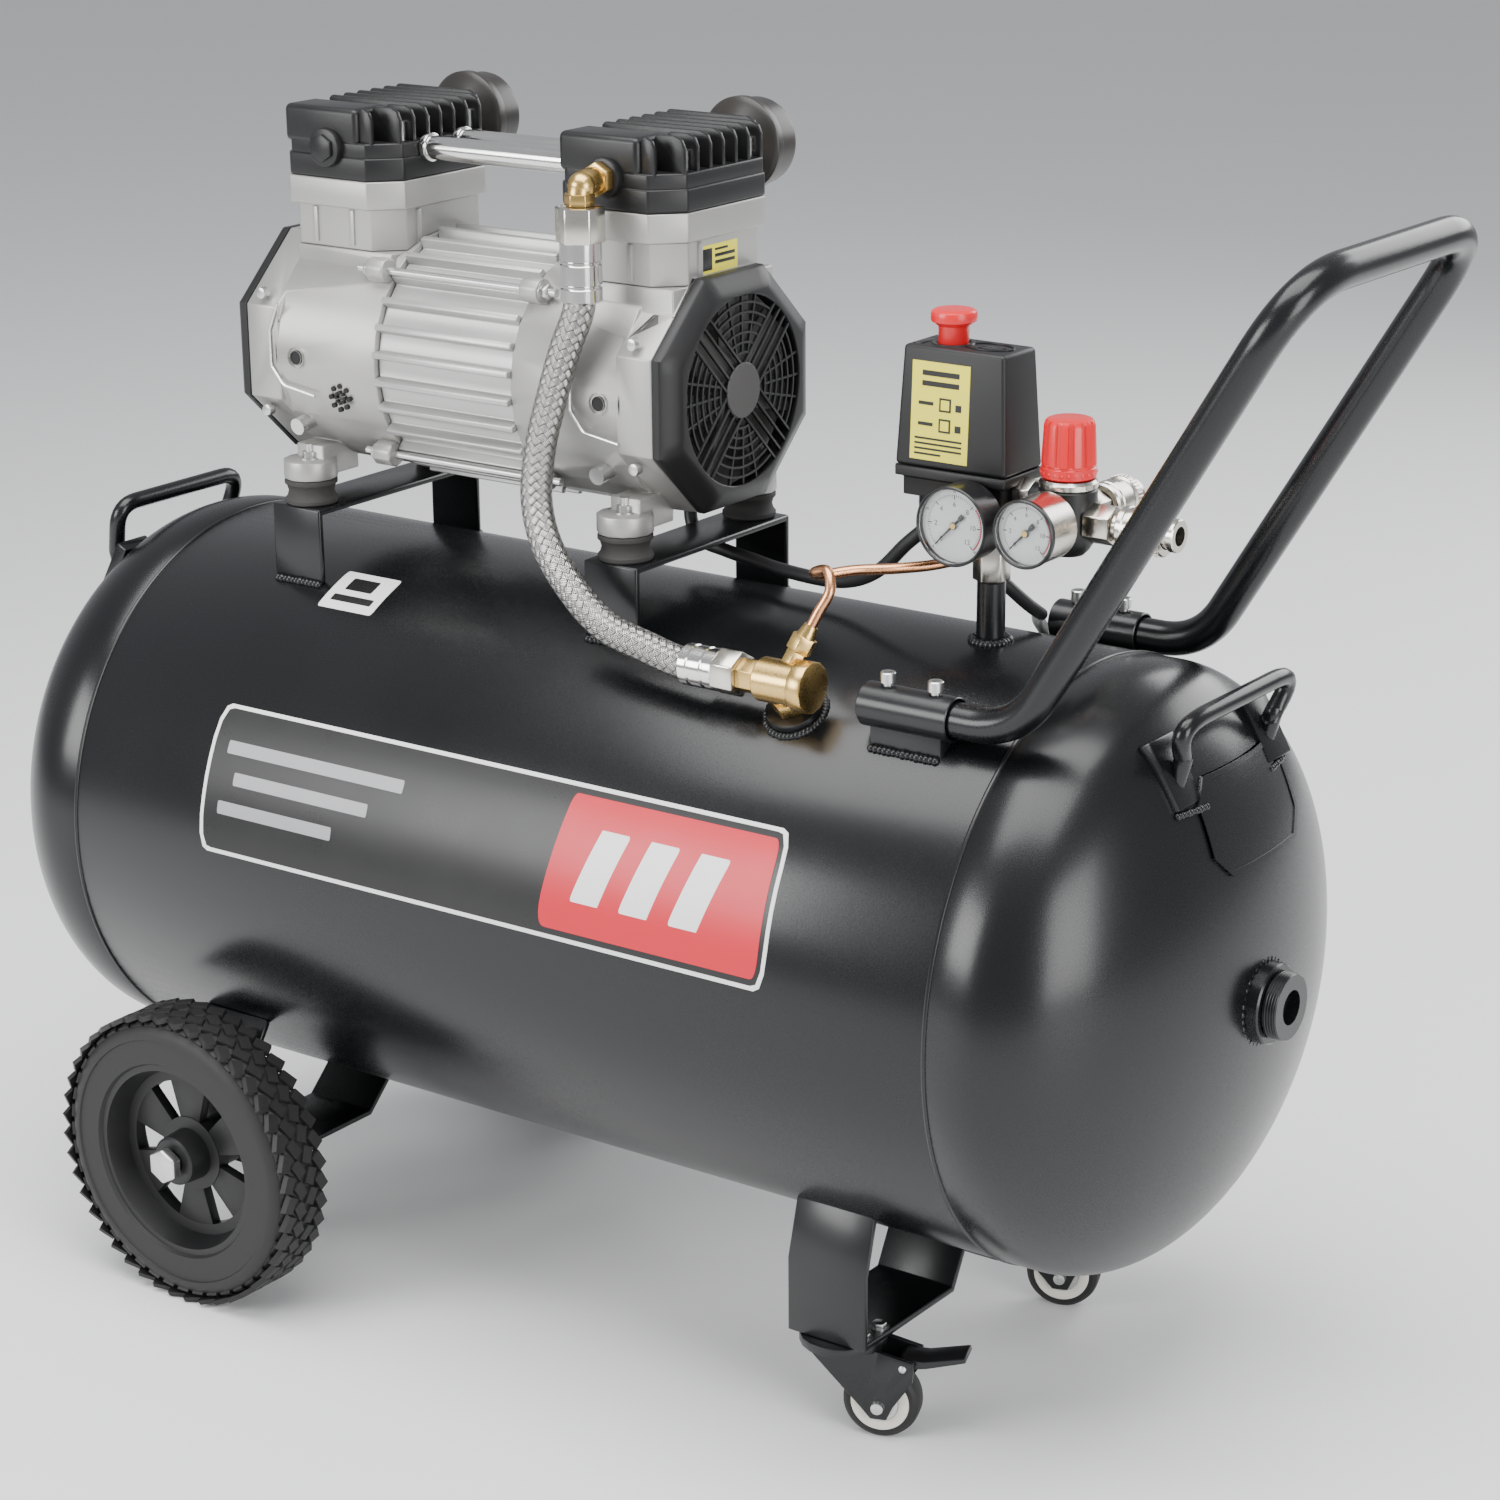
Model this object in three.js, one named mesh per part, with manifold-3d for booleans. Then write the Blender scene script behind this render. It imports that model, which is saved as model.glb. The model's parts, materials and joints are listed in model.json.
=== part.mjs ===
// Two-head, direct-drive air compressor on a horizontal wheeled tank.
// Millimetres, +Z up, +X towards the push handle and the casters, -Y towards the front.
import * as THREE from 'three';
import { mergeVertices } from 'three/addons/utils/BufferGeometryUtils.js';
import Module from 'manifold-3d';

const wasm = await Module();
wasm.setup();

// ---------------------------------------------------------------- driving sizes
const seam = 0.3; // joint line between two pieces that touch
const running = 0.5; // clearance round a piece that moves

const tank = { radius: 185, wall: 3, length: 658, headFlange: 20, headDepth: 95, axisZ: 295 };
const weldBoss = { radius: 17, rise: 6, angle: 33.2, fromEnd: 143 };
const inspection = { bossRadius: 24, holeRadius: 17, plugRadius: 20, standOff: 7, plugHeight: 9 };
const drain = { bossRadius: 12, bossDrop: 6, stemRadius: 5, headRadius: 9, headHeight: 12 };

const socket = { radius: 13, length: 60, spacing: 210, fromEnd: 31, lift: 2.5, endWall: 6 };
const pushTube = { radius: 10.5, rise: 266, slope: 58.8, straight: 40, lowBend: 50, topBend: 46 };
const lift = { rod: 5.5, bend: 15, padY: 53, padX: 75, padZ: 147, pad: [9, 27, 42] };
const liftBar = {
  left: { reach: 71, rise: 187, halfSpan: 59, centreY: 0 },
  right: { reach: 86, rise: 176, halfSpan: 77, centreY: 7 },
};

const motorBracket = { width: 40, halfSpan: 80, rise: 31, sheet: 4, leftX: -218.5, rightX: 35 };
const rubber = { radius: 17, waist: 14, height: 16, offsetY: 64 };
const pumpMidX = -96;
const crankcase = { radius: 76, halfEnd: 160.5, ring: 20, octWidth: 150, octHeight: 142, octDepth: 26 };
const crankBore = { motorWall: 7, crankWall: 16, wall: 8 };
const foot = { radius: 17.5, height: 12, tuck: 8 };
const stator = { half: 54, finsProud: 3, rootBelow: 4, bore: 47, fins: 28 };
const rotor = { shaft: 8, core: 46, coreHalf: 45, eccentric: 17, throw: 6, eccentricHalf: 8 };
const fan = { radius: 56, hub: 15, depth: 8, blades: 7 };
const fanCover = { rim: 5, depth: 13.2, faceShrink: 12, face: 2.5, window: 58, hubDisc: 17 };
const cylinder = { leftX: -193.5, rightX: 24.5, halfX: 39, halfY: 51, sink: 9, height: 43.6 };
const cylinderFlange = { overhangX: 3, overhangY: 5, thickness: 17.6, chamfer: 17, bore: 30 };
const piston = { radius: 29.5, crown: 10, drop: 14, bigEnd: 29, bigEndBore: 26, rod: 12 };
const head = { slab: 23, fins: 21, finCount: 9, finThickness: 3, chamber: 60 };
const link = { radius: 7.5, y: [-15, 17], height: 18 };
const filter = { neck: 16, rim: 29, cap: 27, length: 40, height: 23 };

const elbow = { offsetX: -5.5, reach: 21, radius: 8.5, height: 19 };
const hose = { radius: 9.8, ferrule: 12.5, nut: 15, nutLength: 21, ferruleLength: 35 };
const checkValve = { radius: 13, length: 38, stand: 26, cap: 15.5, capLength: 9, stub: 9.5 };
const copper = { radius: 3.2, nut: 8 };

const riser = { radius: 8.5, fromEnd: 74.4, height: 37, nut: 11, nutLength: 23 };
const manifold = { halfX: 16.5, halfY: 14, height: 24.4 };
const pressureSwitch = { width: 75, depth: 42, base: 12, lip: 6, cover: 70, taper: 7, wall: 2.5, offsetX: -17 };
const knob = { stem: 9, cap: 13.5, length: 42, capHeight: 7, offsetX: -28 };
const gauge = { leftRadius: 23.5, rightRadius: 20, leftDepth: 22, rightDepth: 29, wall: 1.6, recess: 5 };
const gaugeFace = { leftY: -46, rightY: -50, leftRise: 5.5, rightRise: 9 };
const needle = { width: 1.6, thickness: 0.8, zeroAngle: 225 };
const regulator = { offsetX: 50.4, radius: 17, height: 44.5, knob: 16, knobHeight: 34 };
const coupler = { hex: 11, hexLength: 14, core: 8, bore: 5, coreLength: 44, sleeve: 13, sleeveLength: 28 };

const cableRadius = 4.3;
const leadRadius = 4;
const leadCoil = { x: -60, y: 455, mean: 44, radial: 12.3, height: 16.5 };
const plug = { length: 52, width: 42, height: 26 };

const wheel = { radius: 100, width: 41, tuck: 10, fromEnd: 99, hub: 17, axle: 8, windows: 6 };
const wheelBracket = { width: 54, sheet: 4, besideWheel: 17, innerY: 52, floorBelowAxle: 17, kneeAbove: 64 };
const caster = { radius: 24, width: 18, trail: 25, angle: 20, fromEnd: 105, spacing: 214, plate: 27 };
const casterFork = { arm: 3, pin: 4, plateThickness: 6, pivotU: 40, pivotZ: 51 };
const casterBracket = { width: 56, sheet: 4, floorZ: 66, outerY: 124, innerY: 27, kneeAbove: 46 };

// ---------------------------------------------------------------- derived places
const tankTopZ = tank.axisZ + tank.radius;
const shellEnd = tank.length / 2;
const headStart = shellEnd + seam;
const headApex = headStart + tank.headFlange + tank.headDepth;
const bracketTopZ = tankTopZ + motorBracket.rise;
const footZ = bracketTopZ + seam + rubber.height + seam;
const pumpZ = footZ + foot.height + crankcase.radius - foot.tuck;
const statorEnd = stator.half;
const cylinderBottomZ = pumpZ + crankcase.radius - cylinder.sink;
const cylinderTopZ = cylinderBottomZ + cylinder.height;
const headZ = cylinderTopZ + seam;
const headTopZ = headZ + head.slab + head.fins;
const flangeHalfX = cylinder.halfX + cylinderFlange.overhangX;
const flangeHalfY = cylinder.halfY + cylinderFlange.overhangY;
const riserX = shellEnd - riser.fromEnd;
const nutZ = tankTopZ + riser.height + seam;
const manifoldZ = nutZ + riser.nutLength;
const switchZ = manifoldZ + manifold.height + seam;
const switchX = riserX + pressureSwitch.offsetX;
const coverZ = switchZ + pressureSwitch.base + pressureSwitch.lip + seam;
const gaugeZ = manifoldZ + manifold.height / 2;
const regulatorX = riserX + regulator.offsetX;
const regulatorZ = manifoldZ;
const outletZ = regulatorZ + regulator.height / 2 - 2;
const socketEndX = shellEnd - socket.fromEnd;
const socketY = socket.spacing / 2;
const socketZ = tank.axisZ + Math.sqrt((tank.radius + socket.radius + socket.lift) ** 2 - socketY ** 2);
const wheelX = wheel.fromEnd - shellEnd;
const casterX = shellEnd - caster.fromEnd;

// ---------------------------------------------------------------- solids
const X = new THREE.Vector3(1, 0, 0);
const Y = new THREE.Vector3(0, 1, 0);
const Z = new THREE.Vector3(0, 0, 1);
const AXES = { x: X, y: Y, z: Z };

function solid(geometry) {
  const bare = geometry.clone();
  bare.deleteAttribute('normal');
  bare.deleteAttribute('uv');
  const merged = mergeVertices(bare, 1e-4);
  const position = merged.attributes.position;
  const corners = [];
  let volume = 0;
  const [a, b, c] = [new THREE.Vector3(), new THREE.Vector3(), new THREE.Vector3()];
  for (let i = 0; i < merged.index.count; i += 3) {
    const triangle = [0, 1, 2].map((k) => merged.index.getX(i + k));
    if (new Set(triangle).size < 3) continue;
    a.fromBufferAttribute(position, triangle[0]);
    b.fromBufferAttribute(position, triangle[1]);
    c.fromBufferAttribute(position, triangle[2]);
    volume += a.dot(b.cross(c));
    corners.push(triangle);
  }
  const outward = volume > 0 ? corners : corners.map(([p, q, r]) => [p, r, q]);
  return new wasm.Manifold(new wasm.Mesh({
    numProp: 3,
    vertProperties: Float32Array.from(position.array),
    triVerts: Uint32Array.from(outward.flat()),
  }));
}

function join(...parts) {
  return parts.flat().reduce((whole, part) => whole.add(part));
}

function cut(body, ...tools) {
  return tools.flat().reduce((rest, tool) => rest.subtract(tool), body);
}

// A box between two opposite corners.
function box(low, high) {
  const size = high.map((value, i) => value - low[i]);
  const geometry = new THREE.BoxGeometry(...size);
  geometry.translate(...low.map((value, i) => value + size[i] / 2));
  return solid(geometry);
}

// A cylinder between two points. `phase` turns its facets about its own axis.
function rod(from, to, radius, sides = 24, endRadius = radius, phase = 0) {
  const start = new THREE.Vector3(...from);
  const along = new THREE.Vector3(...to).sub(start);
  const geometry = new THREE.CylinderGeometry(endRadius, radius, along.length(), sides, 1, false, phase);
  geometry.translate(0, along.length() / 2, 0);
  geometry.applyQuaternion(new THREE.Quaternion().setFromUnitVectors(Y, along.normalize()));
  geometry.translate(...from);
  return solid(geometry);
}

// A solid of revolution about an axis through `centre`; the profile is [along, radius] pairs.
function turned(axis, centre, profile, sides = 24, phase = 0) {
  const points = profile.map(([along, radius]) => new THREE.Vector2(radius, along));
  const geometry = new THREE.LatheGeometry(points, sides, phase);
  geometry.applyQuaternion(new THREE.Quaternion().setFromUnitVectors(Y, AXES[axis]));
  geometry.translate(...centre);
  return solid(geometry);
}

// A prism along one axis. The outline's two numbers are the other two axes in X, Y, Z order.
function prism(axis, outline, from, to, holes = []) {
  const shape = new THREE.Shape(outline.map(([u, v]) => new THREE.Vector2(u, v)));
  shape.holes = holes;
  const options = { depth: to - from, bevelEnabled: false, curveSegments: 12 };
  const geometry = new THREE.ExtrudeGeometry(shape, options);
  const frames = { x: [Y, Z, X], y: [X, Z, Y.clone().negate()], z: [X, Y, Z] };
  geometry.applyMatrix4(new THREE.Matrix4().makeBasis(...frames[axis]));
  const shift = axis === 'y' ? to : from;
  geometry.translate(...AXES[axis].clone().multiplyScalar(shift).toArray());
  return solid(geometry);
}

// A path of straight runs whose corners are rounded to the given radii.
function roundedPath(points, radii) {
  const path = new THREE.CurvePath();
  const corners = points.map((point) => new THREE.Vector3(...point));
  let last = corners[0];
  for (let i = 1; i < corners.length - 1; i += 1) {
    const back = corners[i - 1].clone().sub(corners[i]).normalize();
    const ahead = corners[i + 1].clone().sub(corners[i]).normalize();
    const reach = radii[i - 1] / Math.tan(back.angleTo(ahead) / 2);
    const enter = corners[i].clone().addScaledVector(back, reach);
    const leave = corners[i].clone().addScaledVector(ahead, reach);
    path.add(new THREE.LineCurve3(last, enter));
    path.add(new THREE.QuadraticBezierCurve3(enter, corners[i], leave));
    last = leave;
  }
  path.add(new THREE.LineCurve3(last, corners.at(-1)));
  return path;
}

function smoothPath(points) {
  const places = points.map((point) => new THREE.Vector3(...point));
  return new THREE.CatmullRomCurve3(places, false, 'centripetal');
}

function swept(path, radius, steps, sides = 10) {
  const section = new THREE.Shape();
  for (let i = 0; i < sides; i += 1) {
    const angle = (i / sides) * 2 * Math.PI;
    const corner = [radius * Math.cos(angle), radius * Math.sin(angle)];
    if (i === 0) section.moveTo(...corner);
    else section.lineTo(...corner);
  }
  return solid(new THREE.ExtrudeGeometry(section, { steps, extrudePath: path, bevelEnabled: false }));
}

// The outline of a sheet strip that follows a line of [u, v] points.
function stripOutline(points, sheet) {
  const line = points.map(([u, v]) => new THREE.Vector2(u, v));
  const side = (sign) => line.map((point, i) => {
    const into = line[Math.max(i, 1)].clone().sub(line[Math.max(i, 1) - 1]).normalize();
    const next = Math.min(i + 1, line.length - 1);
    const out = line[next].clone().sub(line[next - 1]).normalize();
    const normalIn = new THREE.Vector2(-into.y, into.x);
    const normalOut = new THREE.Vector2(-out.y, out.x);
    const mitre = normalIn.clone().add(normalOut).normalize();
    const reach = sheet / 2 / mitre.dot(normalIn);
    return [point.x + sign * mitre.x * reach, point.y + sign * mitre.y * reach];
  });
  return [...side(1), ...side(-1).reverse()];
}

// The corner radius of a polygon whose flats lie on the given radius.
function flatsOn(radius, sides) {
  return radius / Math.cos(Math.PI / sides);
}

function tankEnvelope(clearance) {
  return rod([-shellEnd, 0, tank.axisZ], [shellEnd, 0, tank.axisZ], tank.radius + clearance, 40);
}

function mirrorY(part) {
  return part.mirror([0, 1, 0]);
}

// ---------------------------------------------------------------- materials
function material(color, roughness, metalness) {
  return new THREE.MeshStandardMaterial({ color, roughness, metalness });
}

const blackPaint = material(0x17191c, 0.35, 0.1);
const castAluminium = material(0xb9bab8, 0.45, 0.8);
const castBlack = material(0x1c1c1e, 0.6, 0.1);
const blackPlastic = material(0x1a1a1b, 0.55, 0);
const softRubber = material(0x242423, 0.8, 0);
const brass = material(0xc9a95c, 0.3, 1);
const braid = material(0xb6b3ac, 0.4, 0.8);
const copperMetal = material(0xcf7d45, 0.35, 1);
const nickel = material(0xc6c4bd, 0.25, 1);
const redPlastic = material(0xd5222b, 0.4, 0);
const dialWhite = material(0xe9eaea, 0.4, 0);
const steel = material(0x8f9194, 0.4, 0.9);

const compressor = new THREE.Group();

function add(name, body, look) {
  const raw = body.getMesh();
  const geometry = new THREE.BufferGeometry();
  geometry.setAttribute('position', new THREE.BufferAttribute(Float32Array.from(raw.vertProperties), 3));
  geometry.setIndex(new THREE.BufferAttribute(Uint32Array.from(raw.triVerts), 1));
  geometry.computeVertexNormals();
  const mesh = new THREE.Mesh(geometry, look.clone());
  mesh.name = name;
  compressor.add(mesh);
  return mesh;
}

// ---------------------------------------------------------------- tank
const bossAngle = THREE.MathUtils.degToRad(weldBoss.angle);
const bossNormal = [0, -Math.sin(bossAngle), Math.cos(bossAngle)];
const bossX = shellEnd - weldBoss.fromEnd;

function onBossAxis(distance) {
  return [bossX, bossNormal[1] * distance, tank.axisZ + bossNormal[2] * distance];
}

function handleSocket() {
  const startX = socketEndX - socket.length;
  const stub = rod([startX, -socketY, socketZ], [socketEndX, -socketY, socketZ], socket.radius, 20);
  const saddleZ = socketZ - socket.radius - 8;
  const saddle = box([startX + 8, -socketY - 6, saddleZ], [socketEndX - 8, -socketY + 6, socketZ]);
  return join(stub, saddle);
}

function socketBore() {
  const floorX = socketEndX - socket.length + socket.endWall;
  return rod([floorX, -socketY, socketZ], [socketEndX + 1, -socketY, socketZ], pushTube.radius + 1, 20);
}

function tankShell() {
  const inner = tank.radius - tank.wall;
  const outside = tankEnvelope(0);
  const inside = rod([-shellEnd - 1, 0, tank.axisZ], [shellEnd + 1, 0, tank.axisZ], inner, 40);
  const portBoss = rod(onBossAxis(inner + 1), onBossAxis(tank.radius + weldBoss.rise), weldBoss.radius, 20);
  const standPipe = rod([riserX, 0, tankTopZ - 2], [riserX, 0, tankTopZ + riser.height], riser.radius, 16);
  const drainZ = tank.axisZ - tank.radius;
  const drainBoss = rod([0, 0, drainZ - drain.bossDrop], [0, 0, drainZ + 2], drain.bossRadius, 16);
  const drainBore = flatsOn(drain.stemRadius + running, 12);
  const drainHole = rod([0, 0, drainZ - 20], [0, 0, drainZ + 10], drainBore, 12);
  const shell = join(outside, portBoss, standPipe, drainBoss, handleSocket(), mirrorY(handleSocket()));
  return cut(shell, inside, drainHole, socketBore(), mirrorY(socketBore()));
}

function dishProfile(radius, depth, flange, steps) {
  const points = [[0, radius]];
  for (let i = 0; i <= steps; i += 1) {
    const angle = (i / steps) * (Math.PI / 2);
    points.push([flange + depth * Math.sin(angle), radius * Math.cos(angle)]);
  }
  points[points.length - 1][1] = 0;
  return points;
}

function liftHandle(bar) {
  const padX = headStart + lift.padX;
  const padZ = tank.axisZ + lift.padZ;
  const weld = [padX + 1, -lift.padY, padZ - 12];
  const knee = [padX + 6, -lift.padY, padZ + 6];
  const corner = [headStart + bar.reach, -bar.halfSpan, tank.axisZ + bar.rise];
  const otherSide = ([x, y, z]) => [x, -y, z];
  const path = roundedPath(
    [weld, knee, corner, otherSide(corner), otherSide(knee), otherSide(weld)],
    [lift.bend / 3, lift.bend, lift.bend, lift.bend / 3],
  );
  const pads = [-1, 1].map((end) => {
    const geometry = new THREE.BoxGeometry(...lift.pad);
    geometry.rotateY(-0.52);
    geometry.translate(padX - 2, end * lift.padY, padZ - 4);
    return solid(geometry);
  });
  return join(swept(path, lift.rod, 32, 8), pads).translate([0, bar.centreY, 0]);
}

function tankHead(bar) {
  const outer = dishProfile(tank.radius, tank.headDepth, tank.headFlange, 7);
  const inner = dishProfile(tank.radius - tank.wall, tank.headDepth - tank.wall, tank.headFlange, 6);
  const bowl = turned('x', [headStart, 0, tank.axisZ], [[0, 0], ...outer], 32);
  const hollow = turned('x', [headStart, 0, tank.axisZ], [[-1, 0], [-1, inner[0][1]], ...inner], 32);
  return cut(join(bowl, liftHandle(bar)), hollow);
}

const inspectionFaceX = headApex + inspection.standOff;

function onTankAxis(fromX, toX, radius, sides = 24) {
  return rod([fromX, 0, tank.axisZ], [toX, 0, tank.axisZ], radius, sides);
}

function rightHead() {
  const boss = onTankAxis(headApex - 12, inspectionFaceX, inspection.bossRadius);
  const hole = onTankAxis(headApex - 30, inspectionFaceX + 5, inspection.holeRadius);
  return cut(join(tankHead(liftBar.right), boss), hole);
}

function inspectionPlug() {
  const faceX = inspectionFaceX + seam;
  const stem = onTankAxis(headApex - 8, faceX + 2, inspection.holeRadius - seam);
  const cap = onTankAxis(faceX, faceX + inspection.plugHeight, inspection.plugRadius);
  const key = onTankAxis(faceX + 1, faceX + 30, 9, 6);
  return cut(join(stem, cap), key);
}

function drainValve() {
  const topZ = tank.axisZ - tank.radius - drain.bossDrop - seam;
  const stem = rod([0, 0, topZ - 2], [0, 0, tank.axisZ - tank.radius + 1], drain.stemRadius, 12);
  const body = rod([0, 0, topZ - drain.headHeight], [0, 0, topZ], drain.headRadius, 6);
  const grip = box([-14, -1.5, topZ - drain.headHeight - 9], [14, 1.5, topZ - drain.headHeight + 1]);
  return join(stem, body, grip);
}

add('tank_shell', tankShell(), blackPaint);
add('tank_head_left', tankHead(liftBar.left).mirror([1, 0, 0]), blackPaint);
add('tank_head_right', rightHead(), blackPaint);
add('inspection_plug', inspectionPlug(), blackPaint);
add('drain_valve', drainValve(), brass);

// ---------------------------------------------------------------- push handle
function pushHandle() {
  const slope = THREE.MathUtils.degToRad(pushTube.slope);
  const bendX = socketEndX + pushTube.straight;
  const topX = bendX + pushTube.rise / Math.tan(slope);
  const topZ = socketZ + pushTube.rise;
  const inX = socketEndX - socket.length + socket.endWall + 4;
  const points = [
    [inX, -socketY, socketZ], [bendX, -socketY, socketZ], [topX, -socketY, topZ],
    [topX, socketY, topZ], [bendX, socketY, socketZ], [inX, socketY, socketZ],
  ];
  const { lowBend, topBend } = pushTube;
  return swept(roundedPath(points, [lowBend, topBend, topBend, lowBend]), pushTube.radius, 46, 10);
}

add('push_handle', pushHandle(), blackPaint);

// ---------------------------------------------------------------- pump mounting
function motorMount(centreX) {
  const { width, halfSpan, sheet } = motorBracket;
  const lowZ = tank.axisZ;
  const outer = box([centreX - width / 2, -halfSpan, lowZ], [centreX + width / 2, halfSpan, bracketTopZ]);
  const inner = box(
    [centreX - width, -halfSpan + sheet, lowZ - 1],
    [centreX + width, halfSpan - sheet, bracketTopZ - sheet],
  );
  return cut(outer, inner, tankEnvelope(seam));
}

function rubberMount(x, y) {
  const { radius, waist, height } = rubber;
  const profile = [
    [0, 0], [0, radius], [3, radius], [height / 2, waist],
    [height - 3, radius], [height, radius], [height, 0],
  ];
  return turned('z', [x, y, bracketTopZ + seam], profile, 12);
}

for (const [side, x] of [['left', motorBracket.leftX], ['right', motorBracket.rightX]]) {
  add(`motor_bracket_${side}`, motorMount(x), blackPaint);
  add(`rubber_mount_${side}_front`, rubberMount(x, -rubber.offsetY), softRubber);
  add(`rubber_mount_${side}_rear`, rubberMount(x, rubber.offsetY), softRubber);
}

// ---------------------------------------------------------------- pump
// Pump pieces are drawn on the +X end about x = 0; `place` mirrors and moves them.
function place(body, side) {
  const turnedRound = side > 0 ? body : body.mirror([1, 0, 0]);
  return turnedRound.translate([pumpMidX, 0, 0]);
}

function octagon(from, to, shrink) {
  const wide = crankcase.octWidth / 2 - shrink;
  const tall = crankcase.octHeight / 2 - shrink;
  const cutWide = wide * Math.tan(Math.PI / 8);
  const cutTall = tall * Math.tan(Math.PI / 8);
  const outline = [
    [wide, cutTall], [cutWide, tall], [-cutWide, tall], [-wide, cutTall],
    [-wide, -cutTall], [-cutWide, -tall], [cutWide, -tall], [wide, -cutTall],
  ];
  return prism('x', outline, from, to).translate([0, 0, pumpZ]);
}

function crankHousing(side, cylinderX, footX) {
  const inX = statorEnd + seam;
  const outX = crankcase.halfEnd;
  const localCylinder = side * (cylinderX - pumpMidX);
  const localFoot = side * (footX - pumpMidX);
  const drum = rod([inX, 0, pumpZ], [outX - crankcase.octDepth + 2, 0, pumpZ], crankcase.radius, 24);
  const endBlock = octagon(outX - crankcase.octDepth, outX, 0);
  const neck = box(
    [localCylinder - cylinder.halfX, -cylinder.halfY, pumpZ],
    [localCylinder + cylinder.halfX, cylinder.halfY, cylinderBottomZ - seam],
  );
  const lugs = [45, 135, 225, 315].map((degrees) => {
    const angle = THREE.MathUtils.degToRad(degrees);
    const reach = crankcase.radius + 6;
    const [y, z] = [Math.cos(angle) * reach, Math.sin(angle) * reach + pumpZ];
    return rod([inX, y, z], [inX + crankcase.ring * 0.7, y, z], 8, 10);
  });
  const feet = [-1, 1].map((end) => {
    const y = end * rubber.offsetY;
    const pad = rod([localFoot, y, footZ], [localFoot, y, footZ + foot.height], foot.radius, 12);
    const web = box(
      [localFoot - 11, Math.min(y, end * 30), footZ + 1],
      [localFoot + 11, Math.max(y, end * 30), footZ + foot.height + 9],
    );
    return join(pad, web);
  });
  const wallX = inX + crankcase.ring;
  const { motorWall, crankWall, wall } = crankBore;
  const motorBore = rod([inX - 1, 0, pumpZ], [wallX, 0, pumpZ], crankcase.radius - motorWall, 24);
  const crankSpace = rod([wallX + wall, 0, pumpZ], [outX + 1, 0, pumpZ], crankcase.radius - crankWall, 24);
  const shaftHole = rod([inX, 0, pumpZ], [outX, 0, pumpZ], flatsOn(rotor.shaft + running, 12), 12);
  const port = rod(
    [localCylinder, 0, pumpZ],
    [localCylinder, 0, cylinderBottomZ + 5],
    cylinderFlange.bore + 1,
    24,
  );
  const shell = cut(join(drum, endBlock, neck, feet, lugs), motorBore, crankSpace, shaftHole, port);
  return place(cut(shell, cylinderSeat(localCylinder)), side);
}

// The round drum stands proud of the cylinder's seat, so it is milled flat under the cylinder.
function cylinderSeat(localCylinder) {
  return box(
    [localCylinder - cylinder.halfX - seam, -cylinder.halfY - seam, cylinderBottomZ - seam],
    [localCylinder + cylinder.halfX + seam, cylinder.halfY + seam, cylinderBottomZ + 60],
  );
}

function statorHousing() {
  const tip = crankcase.radius + stator.finsProud;
  const root = crankcase.radius - stator.rootBelow;
  const outline = [];
  for (let i = 0; i < stator.fins; i += 1) {
    const pitch = (2 * Math.PI) / stator.fins;
    const fin = pitch * 0.16;
    const steps = [[-fin, root], [-fin * 0.7, tip], [fin * 0.7, tip], [fin, root]];
    for (const [turn, radius] of steps) {
      const angle = (i + 0.5) * pitch + turn;
      outline.push([radius * Math.cos(angle), radius * Math.sin(angle)]);
    }
  }
  const bore = new THREE.Path();
  bore.absarc(0, 0, stator.bore, 0, 2 * Math.PI, true);
  return prism('x', outline, -statorEnd, statorEnd, [bore]).translate([pumpMidX, 0, pumpZ]);
}

function rotorShaft() {
  const reach = crankcase.halfEnd + seam + fan.depth;
  const shaft = rod([-reach, 0, pumpZ], [reach, 0, pumpZ], rotor.shaft, 12);
  const core = rod([-rotor.coreHalf, 0, pumpZ], [rotor.coreHalf, 0, pumpZ], rotor.core, 24);
  const body = join(shaft, core).translate([pumpMidX, 0, 0]);
  const eccentric = (x, throwZ) => rod(
    [x - rotor.eccentricHalf, 0, pumpZ + throwZ],
    [x + rotor.eccentricHalf, 0, pumpZ + throwZ],
    rotor.eccentric,
    20,
  );
  return join(body, eccentric(cylinder.leftX, rotor.throw), eccentric(cylinder.rightX, -rotor.throw));
}

function coolingFan(side) {
  const startX = crankcase.halfEnd + seam + 1;
  const hub = rod([startX, 0, pumpZ], [startX + fan.depth, 0, pumpZ], fan.hub, 12);
  const blades = [];
  for (let i = 0; i < fan.blades; i += 1) {
    const geometry = new THREE.BoxGeometry(1.8, 22, fan.radius - fan.hub + 3);
    geometry.rotateZ(-0.35);
    geometry.translate(startX + fan.depth / 2, 0, (fan.radius + fan.hub - 3) / 2);
    geometry.rotateX((i / fan.blades) * 2 * Math.PI);
    geometry.translate(0, 0, pumpZ);
    blades.push(solid(geometry));
  }
  const bore = rod([startX - 1, 0, pumpZ], [startX + 30, 0, pumpZ], flatsOn(rotor.shaft + seam, 12), 12);
  return place(cut(join(hub, blades), bore), side);
}

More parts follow.
